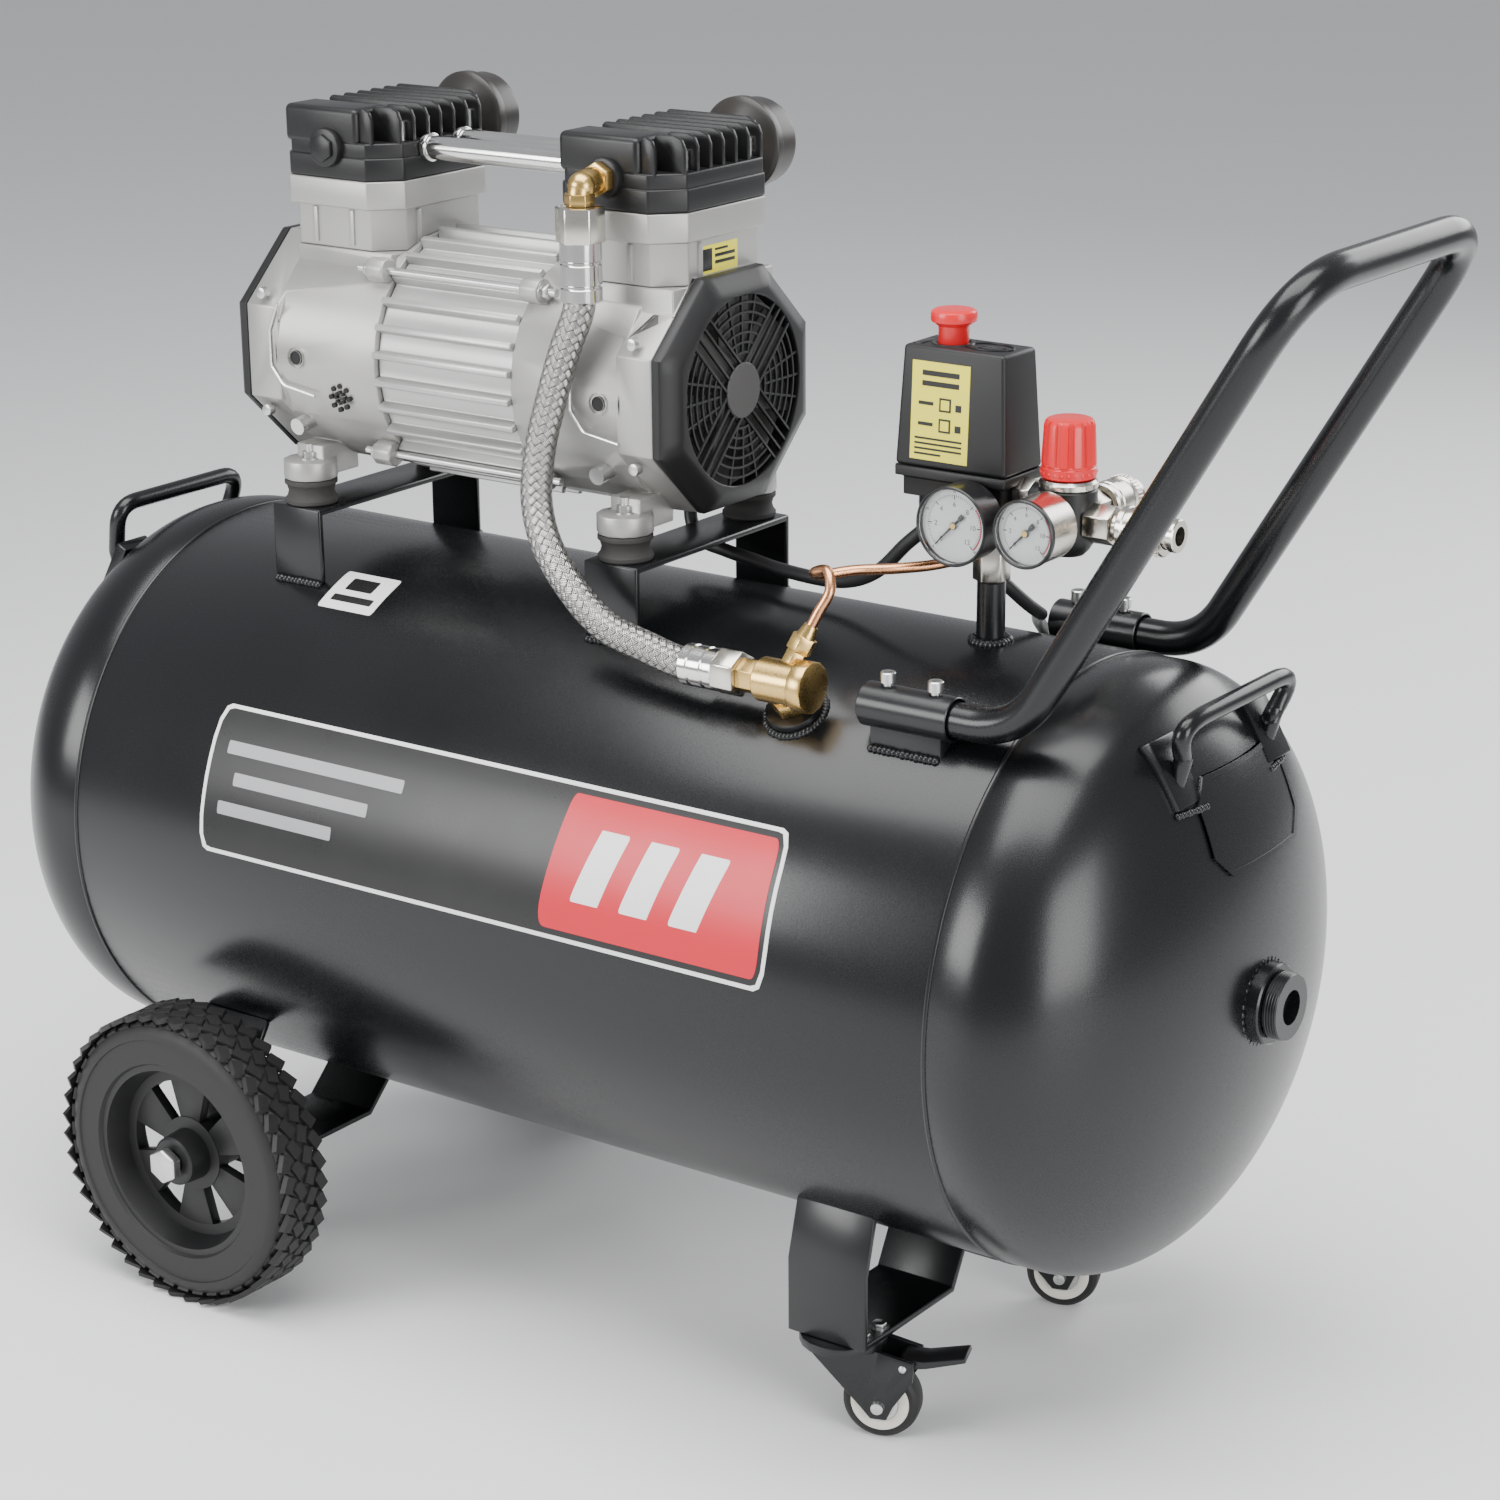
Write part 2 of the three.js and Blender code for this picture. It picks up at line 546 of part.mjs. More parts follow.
function coverFor(side) {
  const startX = crankcase.halfEnd + seam;
  const endX = startX + fanCover.depth;
  const rim = octagon(startX, startX + fanCover.rim, 0);
  const scale = (crankcase.octWidth / 2 - fanCover.faceShrink) / (crankcase.octWidth / 2);
  const corner = flatsOn(crankcase.octWidth / 2, 8);
  const taper = new THREE.CylinderGeometry(
    corner * scale, corner, fanCover.depth - fanCover.rim, 8, 1, false, Math.PI / 8,
  );
  taper.rotateZ(-Math.PI / 2);
  taper.scale(1, 1, crankcase.octHeight / crankcase.octWidth);
  taper.translate(startX + (fanCover.depth + fanCover.rim) / 2, 0, pumpZ);
  const faceX = endX - fanCover.face;
  const cavity = rod([startX - 1, 0, pumpZ], [faceX, 0, pumpZ], fanCover.window + 2, 24);
  const windowHole = rod([faceX - 1, 0, pumpZ], [endX + 1, 0, pumpZ], fanCover.window, 24);
  const disc = rod([faceX, 0, pumpZ], [endX, 0, pumpZ], fanCover.hubDisc, 16);
  const ringMid = (fanCover.window + fanCover.hubDisc) / 2;
  const ring = turned('x', [faceX, 0, pumpZ], [
    [0, ringMid - 2], [0, ringMid + 2],
    [fanCover.face, ringMid + 2], [fanCover.face, ringMid - 2], [0, ringMid - 2],
  ], 24);
  const bars = [0, 45, 90, 135].map((degrees) => {
    const reach = fanCover.window + 1;
    return box([faceX, -1.5, -reach], [endX, 1.5, reach]).rotate([degrees, 0, 0]).translate([0, 0, pumpZ]);
  });
  return place(join(cut(join(rim, solid(taper)), cavity, windowHole), disc, ring, bars), side);
}

// The +X corners are cut off wide; the -X corners have only a small chamfer.
function blockOutline(halfX, halfY, chamfer) {
  const small = chamfer / 5;
  return [
    [halfX, halfY - chamfer], [halfX - chamfer, halfY],
    [-halfX + small, halfY], [-halfX, halfY - small],
    [-halfX, -halfY + small], [-halfX + small, -halfY],
    [halfX - chamfer, -halfY], [halfX, -halfY + chamfer],
  ];
}

function cylinderBlock(x) {
  const { overhangX, thickness, chamfer, bore } = cylinderFlange;
  const barrelOutline = blockOutline(cylinder.halfX, cylinder.halfY, chamfer - 1);
  const barrel = prism('z', barrelOutline, cylinderBottomZ, cylinderTopZ);
  const flangeOutline = blockOutline(cylinder.halfX + overhangX, flangeHalfY, chamfer);
  const flange = prism('z', flangeOutline, cylinderTopZ - thickness, cylinderTopZ);
  const hole = rod([0, 0, cylinderBottomZ - 1], [0, 0, cylinderTopZ + 1], bore, 32);
  return cut(join(barrel, flange), hole).translate([x, 0, 0]);
}

function pistonRod(x) {
  const crownZ = cylinderTopZ - piston.drop;
  const crown = rod([x, 0, crownZ - piston.crown], [x, 0, crownZ], piston.radius, 24);
  const bigEnd = rod([x - piston.rod / 2, 0, pumpZ], [x + piston.rod / 2, 0, pumpZ], piston.bigEnd, 24);
  const stem = box([x - piston.rod / 2, -9, pumpZ], [x + piston.rod / 2, 9, crownZ - 1]);
  const eye = rod([x - 20, 0, pumpZ], [x + 20, 0, pumpZ], piston.bigEndBore, 24);
  return cut(join(crown, bigEnd, stem), eye);
}

function cylinderHead(x, extras) {
  const outline = blockOutline(flangeHalfX, flangeHalfY, cylinderFlange.chamfer);
  const slab = prism('z', outline, headZ, headZ + head.slab);
  const fins = [];
  for (let i = 0; i < head.finCount; i += 1) {
    const y = ((i / (head.finCount - 1)) * 2 - 1) * (flangeHalfY - 5);
    const inset = Math.max(0, Math.abs(y) - (flangeHalfY - cylinderFlange.chamfer));
    fins.push(box(
      [-flangeHalfX + 2, y - head.finThickness / 2, headZ + head.slab - 1],
      [flangeHalfX - inset - 2, y + head.finThickness / 2, headTopZ],
    ));
  }
  const portZ = headZ + elbow.height;
  const portX = elbow.offsetX;
  const outlet = rod([portX, -flangeHalfY - 4, portZ], [portX, -flangeHalfY + 10, portZ], 12, 16);
  const chamber = box(
    [-flangeHalfX + 0.5, -flangeHalfY + 0.5, headZ + head.slab - 1],
    [-flangeHalfX + head.chamber, -flangeHalfY + head.chamber / 2, headTopZ - 0.5],
  );
  return join(join(slab, fins, outlet, chamber).translate([x, 0, 0]), extras);
}

function linkTubes() {
  const fromX = cylinder.leftX + flangeHalfX - 2;
  const toX = cylinder.rightX - flangeHalfX - seam;
  const z = headZ + link.height;
  return link.y.map((y) => rod([fromX, y, z], [toX, y, z], link.radius, 12));
}

function intakeFilter(x) {
  const { neck, rim, cap, length, height } = filter;
  const profile = [
    [0, 0], [0, neck], [8, neck], [15, rim - 3], [15, rim], [23, rim], [24, cap], [length - 3, cap],
    [length, cap - 3], [length, 0],
  ];
  return turned('y', [x, flangeHalfY + seam, headZ + height], profile, 20);
}

add('stator_housing', statorHousing(), castAluminium);
add('rotor_shaft', rotorShaft(), steel);
const pumps = [
  ['left', -1, cylinder.leftX, motorBracket.leftX, linkTubes()],
  ['right', 1, cylinder.rightX, motorBracket.rightX, []],
];
for (const [name, side, cylinderX, footX, extras] of pumps) {
  add(`crankcase_${name}`, crankHousing(side, cylinderX, footX), castAluminium);
  add(`cylinder_${name}`, cylinderBlock(cylinderX), castAluminium);
  add(`cylinder_head_${name}`, cylinderHead(cylinderX, extras), castBlack);
  add(`piston_rod_${name}`, pistonRod(cylinderX), steel);
  add(`fan_${name}`, coolingFan(side), blackPlastic);
  add(`fan_cover_${name}`, coverFor(side), blackPlastic);
  add(`intake_filter_${name}`, intakeFilter(cylinderX), blackPlastic);
}

// ---------------------------------------------------------------- air lines
const elbowX = cylinder.rightX + elbow.offsetX;
const elbowY = -flangeHalfY - 4 - elbow.reach;
const elbowZ = headZ + elbow.height;
const hoseTopZ = elbowZ - 13 - seam;
const valveCentre = onBossAxis(tank.radius + checkValve.stand);
const valveInX = valveCentre[0] - checkValve.length / 2 - 8;

function elbowFitting() {
  const startY = -flangeHalfY - 4 - seam;
  const across = rod([elbowX, startY, elbowZ], [elbowX, elbowY, elbowZ], elbow.radius, 12);
  const down = rod([elbowX, elbowY, elbowZ + 4], [elbowX, elbowY, hoseTopZ + seam], elbow.radius, 12);
  const collar = rod([elbowX, startY, elbowZ], [elbowX, startY - 6, elbowZ], elbow.radius + 2, 6);
  const corner = new THREE.SphereGeometry(elbow.radius, 12, 8);
  corner.translate(elbowX, elbowY, elbowZ + 1);
  return join(across, down, collar, solid(corner));
}

function dischargeHose() {
  const { radius, ferrule, nut, nutLength, ferruleLength } = hose;
  const [endY, endZ] = [valveCentre[1], valveCentre[2]];
  const topFerruleZ = hoseTopZ - nutLength - ferruleLength;
  const lowNutX = valveInX - 16;
  const lowFerruleX = lowNutX - 24;
  const start = [elbowX - 1, elbowY, topFerruleZ + 3];
  const end = [lowFerruleX + 3, endY, endZ];
  const fromStart = [[-2, 0, -10], [-10, -3, -32], [-18, -7, -62], [-23, -13, -92], [-21, -20, -122]];
  const fromEnd = [[-114, 10, 52], [-90, 8, 25], [-67, 5, 11], [-34, 2, 4], [-10, 0, 0]];
  const offset = (base, shift) => base.map((value, i) => value + shift[i]);
  const route = [start, ...fromStart.map((s) => offset(start, s)), ...fromEnd.map((s) => offset(end, s)), end];
  return join(
    rod([elbowX, elbowY, hoseTopZ], [elbowX, elbowY, hoseTopZ - nutLength], nut, 6),
    rod([elbowX, elbowY, hoseTopZ - nutLength + 1], [elbowX, elbowY, topFerruleZ], ferrule, 16),
    swept(smoothPath(route), radius, 28, 8),
    rod([lowFerruleX, endY, endZ], [lowNutX + 1, endY, endZ], ferrule, 16),
    rod([lowNutX, endY, endZ], [valveInX - seam, endY, endZ], nut - 1, 6),
  );
}

const unloaderDirection = new THREE.Vector3(0.33, 0.33, 0.88).normalize();

function alongUnloader(distance) {
  return new THREE.Vector3(...valveCentre).addScaledVector(unloaderDirection, distance).toArray();
}

function nonReturnValve() {
  const [x, y, z] = valveCentre;
  const outX = x + checkValve.length / 2 - 6;
  return join(
    rod([valveInX, y, z], [x - 8, y, z], checkValve.stub + 1, 16),
    rod([x - 14, y, z], [outX, y, z], checkValve.radius, 16),
    rod([outX - 1, y, z], [outX + checkValve.capLength, y, z], checkValve.cap, 12),
    rod(onBossAxis(tank.radius + weldBoss.rise + seam), valveCentre, checkValve.stub, 12),
    rod(valveCentre, alongUnloader(20), 6.5, 12),
  );
}

function unloaderPipe() {
  const start = alongUnloader(20 + seam);
  const bend = alongUnloader(60);
  const [endX, endY, endZ] = [riserX - manifold.halfX + 4.5, -manifold.halfY + 5, manifoldZ - 2 * seam];
  const shifts = [[-6, 6, 9], [-19, 12, 5], [-21, 22, 1], [-9, 38, 2], [10, 56, 2]];
  const route = [
    alongUnloader(30), alongUnloader(45), bend,
    ...shifts.map((shift) => bend.map((value, i) => value + shift[i])),
    [endX - 10, endY - 11, endZ - 12], [endX, endY, endZ - 8], [endX, endY, endZ],
  ];
  return join(
    rod(start, alongUnloader(36), copper.nut, 6),
    swept(smoothPath(route), copper.radius, 34, 8),
  );
}

add('elbow_fitting', elbowFitting(), brass);
add('discharge_hose', dischargeHose(), braid);
add('check_valve', nonReturnValve(), brass);
add('unloader_pipe', unloaderPipe(), copperMetal);

// ---------------------------------------------------------------- switch, gauges, regulator
function manifoldBlock() {
  const { halfX, halfY, height } = manifold;
  return join(
    box([riserX - halfX, -halfY, manifoldZ], [riserX + halfX, halfY, manifoldZ + height]),
    rod([riserX, 0, nutZ], [riserX, 0, manifoldZ + 1], riser.nut, 6),
  );
}

const glandReach = 11;
const motorGland = [switchX - 25, 0, switchZ - glandReach];
const mainsGland = [switchX - 8, 10, switchZ - glandReach];

function switchBase() {
  const { width, depth, base, lip, wall } = pressureSwitch;
  const lipZ = switchZ + base;
  const works = [width / 2 - wall - 8, depth / 2 - wall - 6];
  return join(
    box([switchX - width / 2 + 4, -depth / 2 + 3, switchZ], [switchX + width / 2 - 4, depth / 2 - 3, lipZ]),
    box([switchX - width / 2, -depth / 2, lipZ - 0.5], [switchX + width / 2, depth / 2, lipZ + lip]),
    box([switchX - works[0], -works[1], lipZ], [switchX + works[0], works[1], lipZ + lip + 22]),
    rod(motorGland, [motorGland[0], 0, switchZ + 1], 7.5, 12),
    rod(mainsGland, [mainsGland[0], mainsGland[1], switchZ + 1], 5.5, 12),
  );
}

function frustum(halfX, halfY, topX, topY, from, to) {
  const geometry = new THREE.BoxGeometry(2, 2, to - from);
  const position = geometry.attributes.position;
  for (let i = 0; i < position.count; i += 1) {
    const top = position.getZ(i) > 0;
    position.setX(i, position.getX(i) * (top ? topX : halfX));
    position.setY(i, position.getY(i) * (top ? topY : halfY));
  }
  geometry.translate(switchX, 0, (from + to) / 2);
  return solid(geometry);
}

function switchCover() {
  const { width, depth, cover, taper, wall } = pressureSwitch;
  const [halfX, halfY] = [width / 2, depth / 2];
  const [topX, topY] = [halfX - taper / 2, halfY - taper / 2];
  const topZ = coverZ + cover;
  const shell = frustum(halfX, halfY, topX, topY, coverZ, topZ);
  const hollow = frustum(halfX - wall, halfY - wall, topX - wall, topY - wall, coverZ - 0.01, topZ - wall);
  const knobX = riserX + knob.offsetX;
  const hole = rod([knobX, 0, topZ - 10], [knobX, 0, topZ + 5], knob.stem + running * 2, 20);
  return cut(shell, hollow, hole);
}

function switchKnob() {
  const topZ = coverZ + pressureSwitch.cover + 20;
  const x = riserX + knob.offsetX;
  const profile = [
    [0, 0], [0, knob.stem],
    [knob.length - knob.capHeight - 3, knob.stem], [knob.length - knob.capHeight, knob.cap],
    [knob.length - 2, knob.cap], [knob.length, knob.cap - 4], [knob.length, 0],
  ];
  return turned('z', [x, 0, topZ - knob.length], profile, 20);
}

function gaugeCase(x, z, radius, faceY, depth, backY) {
  const { wall, recess } = gauge;
  const profile = [
    [0, 0], [0, radius - 2], [2, radius], [depth, radius], [depth, radius - wall],
    [depth - recess, radius - wall], [depth - recess, 0],
  ];
  const can = turned('y', [x, faceY + depth, z], profile.map(([along, r]) => [-along, r]), 24);
  return join(can, rod([x, faceY + depth - 2, z], [x, backY - seam, z], 5, 12));
}

function gaugeNeedle(x, z, radius, faceY) {
  const dialY = faceY + gauge.recess;
  const y = dialY - 1.2;
  const angle = THREE.MathUtils.degToRad(needle.zeroAngle);
  const tip = radius * 0.72;
  const tail = radius * 0.5;
  const hand = prism('y', [
    [-tail, -needle.width], [0, -needle.width * 0.8], [tip, -0.3],
    [tip, 0.3], [0, needle.width * 0.8], [-tail, needle.width],
  ], y - needle.thickness, y);
  const hubDisc = rod([0, y + 0.6, 0], [0, y - 1.8, 0], 2.4, 12);
  return join(hand, hubDisc).rotate([0, -THREE.MathUtils.radToDeg(angle), 0]).translate([x, 0, z]);
}

const sleeveStart = coupler.hexLength + 8;

// A quick coupler drawn along +X from the regulator's axis.
function couplerBody() {
  const start = regulator.radius - 2;
  const hexEnd = start + coupler.hexLength + 4;
  return join(
    rod([start, 0, 0], [hexEnd, 0, 0], coupler.hex, 6),
    rod([hexEnd - 1, 0, 0], [start + coupler.hexLength + coupler.coreLength, 0, 0], coupler.core, 16),
  );
}

function couplerBore() {
  const end = regulator.radius - 2 + coupler.hexLength + coupler.coreLength;
  return rod([end - 26, 0, 0], [end + 1, 0, 0], coupler.bore, 16);
}

function toSide(part) {
  return part.translate([regulatorX, 0, outletZ]);
}

function toRear(part) {
  return part.rotate([0, 0, 90]).translate([regulatorX, 0, outletZ]);
}

function regulatorBody() {
  const topZ = regulatorZ + regulator.height;
  const inletZ = switchZ + pressureSwitch.base / 2 - 1;
  const body = join(
    rod([regulatorX, 0, regulatorZ], [regulatorX, 0, topZ], regulator.radius, 24),
    rod([switchX + pressureSwitch.width / 2 - 4 + seam, 0, inletZ], [regulatorX - 10, 0, inletZ], 5.8, 6),
    toSide(couplerBody()),
    toRear(couplerBody()),
  );
  return cut(body, toSide(couplerBore()), toRear(couplerBore()));
}

function regulatorKnob() {
  const from = regulatorZ + regulator.height + running;
  const sides = 24;
  const outline = [];
  for (let i = 0; i < sides * 2; i += 1) {
    const angle = (i / (sides * 2)) * 2 * Math.PI;
    const radius = i % 2 ? regulator.knob - 0.8 : regulator.knob;
    outline.push([regulatorX + radius * Math.cos(angle), radius * Math.sin(angle)]);
  }
  return prism('z', outline, from, from + regulator.knobHeight);
}

function couplerSleeve() {
  const from = regulator.radius - 2 + sleeveStart;
  const inner = flatsOn(coupler.core + running, 20);
  const profile = [
    [0, inner], [0, coupler.sleeve - 1], [2, coupler.sleeve], [coupler.sleeveLength, coupler.sleeve],
    [coupler.sleeveLength, inner], [0, inner],
  ];
  return turned('x', [from, 0, 0], profile, 20);
}

add('manifold_block', manifoldBlock(), castBlack);
add('switch_base', switchBase(), blackPlastic);
add('switch_cover', switchCover(), blackPlastic);
add('switch_knob', switchKnob(), redPlastic);
const leftGauge = [riserX, gaugeZ + gaugeFace.leftRise, gauge.leftRadius, gaugeFace.leftY];
const rightGauge = [regulatorX, gaugeZ + gaugeFace.rightRise, gauge.rightRadius, gaugeFace.rightY];
add('gauge_left', gaugeCase(...leftGauge, gauge.leftDepth, -manifold.halfY), dialWhite);
add('gauge_right', gaugeCase(...rightGauge, gauge.rightDepth, -regulator.radius), dialWhite);
add('gauge_left_needle', gaugeNeedle(...leftGauge), blackPlastic);
add('gauge_right_needle', gaugeNeedle(...rightGauge), blackPlastic);
add('regulator_body', regulatorBody(), castBlack);
add('regulator_knob', regulatorKnob(), redPlastic);
add('coupler_sleeve_side', toSide(couplerSleeve()), nickel);
add('coupler_sleeve_rear', toRear(couplerSleeve()), nickel);

// ---------------------------------------------------------------- cables
function motorCable() {
  const lowZ = tankTopZ + 13;
  const startRadius = crankcase.radius + 1;
  const [dy, dz] = [0.55, -Math.sqrt(1 - 0.55 ** 2)];
  const fromCase = (distance) => [2, dy * distance, pumpZ + dz * distance];
  const [gx, gy, gz] = motorGland;
  const route = [
    fromCase(startRadius), fromCase(startRadius + 14), [4, 44, lowZ + 17], [13, 41, lowZ + 5],
    [35, 38, lowZ + 1], [60, 32, lowZ], [90, 22, lowZ], [gx - 70, 12, lowZ + 3], [gx - 40, 4, lowZ + 16],
    [gx - 18, 0, gz - 25], [gx - 2, gy, gz - 10], [gx, gy, gz - 4], [gx, gy, gz - 2 * seam],
  ];
  return swept(smoothPath(route), cableRadius, 26, 8);
}

const coilEdge = leadCoil.mean + leadCoil.radial;

// A point of the lead over the tank, `y` behind its top, `gap` off its skin.
function overTank(x, y, gap) {
  const radius = tank.radius + leadRadius + gap;
  return [x, y, tank.axisZ + Math.sqrt(radius ** 2 - y ** 2)];
}

// The same, `degrees` round the tank from its top.
function besideTank(x, degrees, gap) {
  const angle = THREE.MathUtils.degToRad(degrees);
  return overTank(x, (tank.radius + leadRadius + gap) * Math.sin(angle), gap);
}

// Down from the switch, over the back of the tank, straight down to the floor and away to the coil.
function mainsLead() {
  const [gx, gy, gz] = mainsGland;
  const floorZ = leadRadius + 0.5;
  const dropX = gx - 10;
  const dropY = tank.radius + leadRadius + 3;
  const nearCoil = leadCoil.x + coilEdge + leadRadius + 2 * seam;
  const route = [
    [gx, gy, gz - 2 * seam], [gx, gy, gz - 10], [gx + 1.8, gy + 2.4, gz - 20.5], [gx + 6.5, gy + 8, gz - 33],
    overTank(gx + 16.5, 30, 24), overTank(gx + 22.5, 44, 13), overTank(gx + 22.5, 60, 7.5),
    overTank(gx + 12, 78, 8), overTank(gx - 1.5, 98, 8), overTank(gx - 7, 118, 6.5),
    besideTank(gx - 8, 46.5, 4), besideTank(dropX, 57, 2), besideTank(dropX, 68, 1.5), besideTank(dropX, 79, 1.5),
    [dropX, dropY, tank.axisZ - 10], [dropX, dropY + 1, 200], [dropX, dropY + 2.5, 120], [dropX - 1, dropY + 5, 70],
    [dropX - 3, dropY + 11, 34], [dropX - 9, dropY + 25, 12.5], [dropX - 19, dropY + 44, floorZ],
    [dropX - 40, dropY + 70, floorZ], [dropX - 70, dropY + 101, floorZ], [dropX - 105, dropY + 134, floorZ],
    [nearCoil + 77, leadCoil.y - 97, floorZ], [nearCoil + 43, leadCoil.y - 65, floorZ],
    [nearCoil + 17, leadCoil.y - 34, floorZ], [nearCoil + 4, leadCoil.y - 13, floorZ],
    [nearCoil, leadCoil.y, floorZ],
  ];
  return swept(smoothPath(route), leadRadius, 72, 8);
}

function coiledLead() {
  const { x, y, mean, radial, height } = leadCoil;
  const [low, high] = [0.4, 0.4 + height];
  const profile = [
    [low + 5, mean - radial], [low, mean - radial + 5],
    [low, mean + radial - 5], [low + 5, mean + radial],
    [high - 5, mean + radial], [high, mean + radial - 5],
    [high, mean - radial + 5], [high - 5, mean - radial],
    [low + 5, mean - radial],
  ];
  return turned('z', [x, y, 0], profile, 24);
}

function mainsPlug() {
  const { length, width, height } = plug;
  const startX = leadCoil.x - coilEdge - seam;
  const [frontY, backY] = [leadCoil.y - width / 2, leadCoil.y + width / 2];
  const body = box([startX - length, frontY, 0.4], [startX - 8, backY, height]);
  const neck = rod([startX, leadCoil.y, height / 2], [startX - 9, leadCoil.y, height / 2], 6, 12);
  const blades = [-11, 11].map((y) => box(
    [startX - length - 18, leadCoil.y + y - 3, height / 2 - 1.6],
    [startX - length + 1, leadCoil.y + y + 3, height / 2 + 1.6],
  ));
  return join(body, neck, blades);
}

add('motor_cable', motorCable(), blackPlastic);
add('mains_lead', mainsLead(), blackPlastic);
add('lead_coil', coiledLead(), blackPlastic);
add('mains_plug', mainsPlug(), blackPlastic);

// ---------------------------------------------------------------- big wheels
const wheelInnerY = tank.radius - wheel.tuck;
const wheelOuterY = wheelInnerY + wheel.width;
const bracketOuterY = wheelInnerY - wheelBracket.besideWheel;

function bentBracket(points, sheet, centreX, width) {
  const strip = prism('x', stripOutline(points, sheet), centreX - width / 2, centreX + width / 2);
  return cut(strip, tankEnvelope(seam));
}

function tankEdgeZ(y) {
  return tank.axisZ - Math.sqrt(tank.radius ** 2 - y ** 2);
}

function frontWheelBracket() {
  const { width, sheet, innerY, floorBelowAxle, kneeAbove } = wheelBracket;
  const outerY = bracketOuterY;
  const axleZ = wheel.radius;
  const lowZ = axleZ - floorBelowAxle;
  const points = [
    [-innerY + 34, tankEdgeZ(innerY - 34) + 4], [-innerY, lowZ], [-outerY, lowZ], [-outerY, axleZ + kneeAbove],
    [-outerY + 14, tankEdgeZ(outerY - 14) + 6],
  ];
  const bracket = bentBracket(points, sheet, wheelX, width);
  const boltEnd = -wheelOuterY - 2;
  const axle = rod([wheelX, -outerY + 12, axleZ], [wheelX, boltEnd, axleZ], wheel.axle, 16);
  const boltHead = rod([wheelX, boltEnd, axleZ], [wheelX, boltEnd - 7, axleZ], 12, 6);
  const innerNut = rod([wheelX, -outerY + 12, axleZ], [wheelX, -outerY, axleZ], 12, 6);
  return join(bracket, axle, boltHead, innerNut);
}

function frontWheel() {
  const { radius, hub, axle, windows } = wheel;
  const sides = 24;
  const bore = flatsOn(axle + running, sides);
  const tread = flatsOn(radius, sides);
  const [inner, outer] = [-wheelInnerY, -wheelOuterY];
  const hubIn = -bracketOuterY - wheelBracket.sheet / 2 - 1;
  const hubOut = outer - 2 + 1;
  const webIn = inner - 14;
  const webOut = webIn - 8;
  const profile = [
    [hubIn, bore], [hubIn, hub], [webIn, hub], [webIn, 56], [inner - 3, 60], [inner, 88], [inner - 8, tread],
    [outer + 8, tread], [outer, 88], [outer + 3, 60], [webOut, 56], [webOut, hub], [hubOut, hub], [hubOut, bore],
    [hubIn, bore],
  ];
  const body = turned('y', [wheelX, 0, radius], profile, sides, Math.PI / sides);
  const cutters = [];
  for (let i = 0; i < windows; i += 1) {
    const shape = [[24, -4], [50, -11], [50, 11], [24, 4]];
    const wedge = prism('y', shape, webOut - 5, webIn + 5);
    cutters.push(wedge.rotate([0, (i / windows) * 360, 0]).translate([wheelX, 0, radius]));
  }
  return cut(body, cutters);
}

add('wheel_bracket_front', frontWheelBracket(), blackPaint);
add('wheel_bracket_rear', mirrorY(frontWheelBracket()), blackPaint);
add('wheel_front', frontWheel(), blackPlastic);
add('wheel_rear', mirrorY(frontWheel()), blackPlastic);

// ---------------------------------------------------------------- casters
// Caster pieces are drawn about the swivel axis, trailing towards +X, then turned and moved.
function placeCaster(part, end) {
  return part.rotate([0, 0, caster.angle]).translate([casterX, end * caster.spacing / 2, 0]);
}

function forkBody() {
  const topZ = casterBracket.floorZ - seam;
  const armTop = topZ - casterFork.plateThickness + 1;
  const inside = caster.width / 2 + 2;
  const plate = rod([0, 0, topZ - casterFork.plateThickness], [0, 0, topZ], caster.plate, 20);
  const outline = [
    [-22, armTop], [24, armTop], [casterFork.pivotU + 7, casterFork.pivotZ + 4], [casterFork.pivotU + 6, 42],
    [34, 24], [30, 15], [20, 15], [14, 22],
  ];
  const arms = [-1, 1].map((side) => {
    const near = side * inside;
    const far = side * (inside + casterFork.arm);
    return prism('y', outline, Math.min(near, far), Math.max(near, far));
  });
  const reach = inside + casterFork.arm + 4;
  const { trail } = caster;
  const axle = rod([trail, -reach, caster.radius], [trail, reach, caster.radius], casterFork.pin, 12);
  const pivot = [casterFork.pivotU, casterFork.pivotZ];
  const rivet = rod([pivot[0], -reach + 3, pivot[1]], [pivot[0], reach - 3, pivot[1]], 2.2, 10);
  return join(plate, arms, axle, rivet);
}

function casterRoller() {
  const sides = 16;
  const bore = flatsOn(casterFork.pin + running, sides);
  const half = caster.width / 2;
  const tread = flatsOn(caster.radius, sides);
  const profile = [
    [-half, bore], [-half, tread - 2], [-half + 2, tread],
    [half - 2, tread], [half, tread - 2], [half, bore], [-half, bore],
  ];
  return turned('y', [caster.trail, 0, caster.radius], profile, sides, Math.PI / sides);
}

function brakePedal() {
  const { pivotU, pivotZ } = casterFork;
  const half = caster.width / 2 + 1;
  const hub = rod([pivotU, -half, pivotZ], [pivotU, half, pivotZ], 5, 12);
  const tongue = prism('y', [
    [pivotU + 2, pivotZ - 2], [pivotU + 14, pivotZ], [pivotU + 38, pivotZ + 7], [pivotU + 37, pivotZ + 10],
    [pivotU + 12, pivotZ + 4.5], [pivotU, pivotZ + 4.5],
  ], -half, half);
  const bore = rod([pivotU, -half - 1, pivotZ], [pivotU, half + 1, pivotZ], flatsOn(2.2 + running, 10), 10);
  return cut(join(hub, tongue), bore);
}

function frontCasterBracket() {
  const { width, sheet, floorZ, outerY, innerY, kneeAbove } = casterBracket;
  const lowZ = floorZ + sheet / 2;
  const points = [
    [-innerY + 25, tankEdgeZ(innerY - 25) + 4], [-innerY, lowZ], [-outerY, lowZ], [-outerY, lowZ + kneeAbove],
    [-outerY + 11, tankEdgeZ(outerY - 11) + 6],
  ];
  return bentBracket(points, sheet, casterX, width);
}

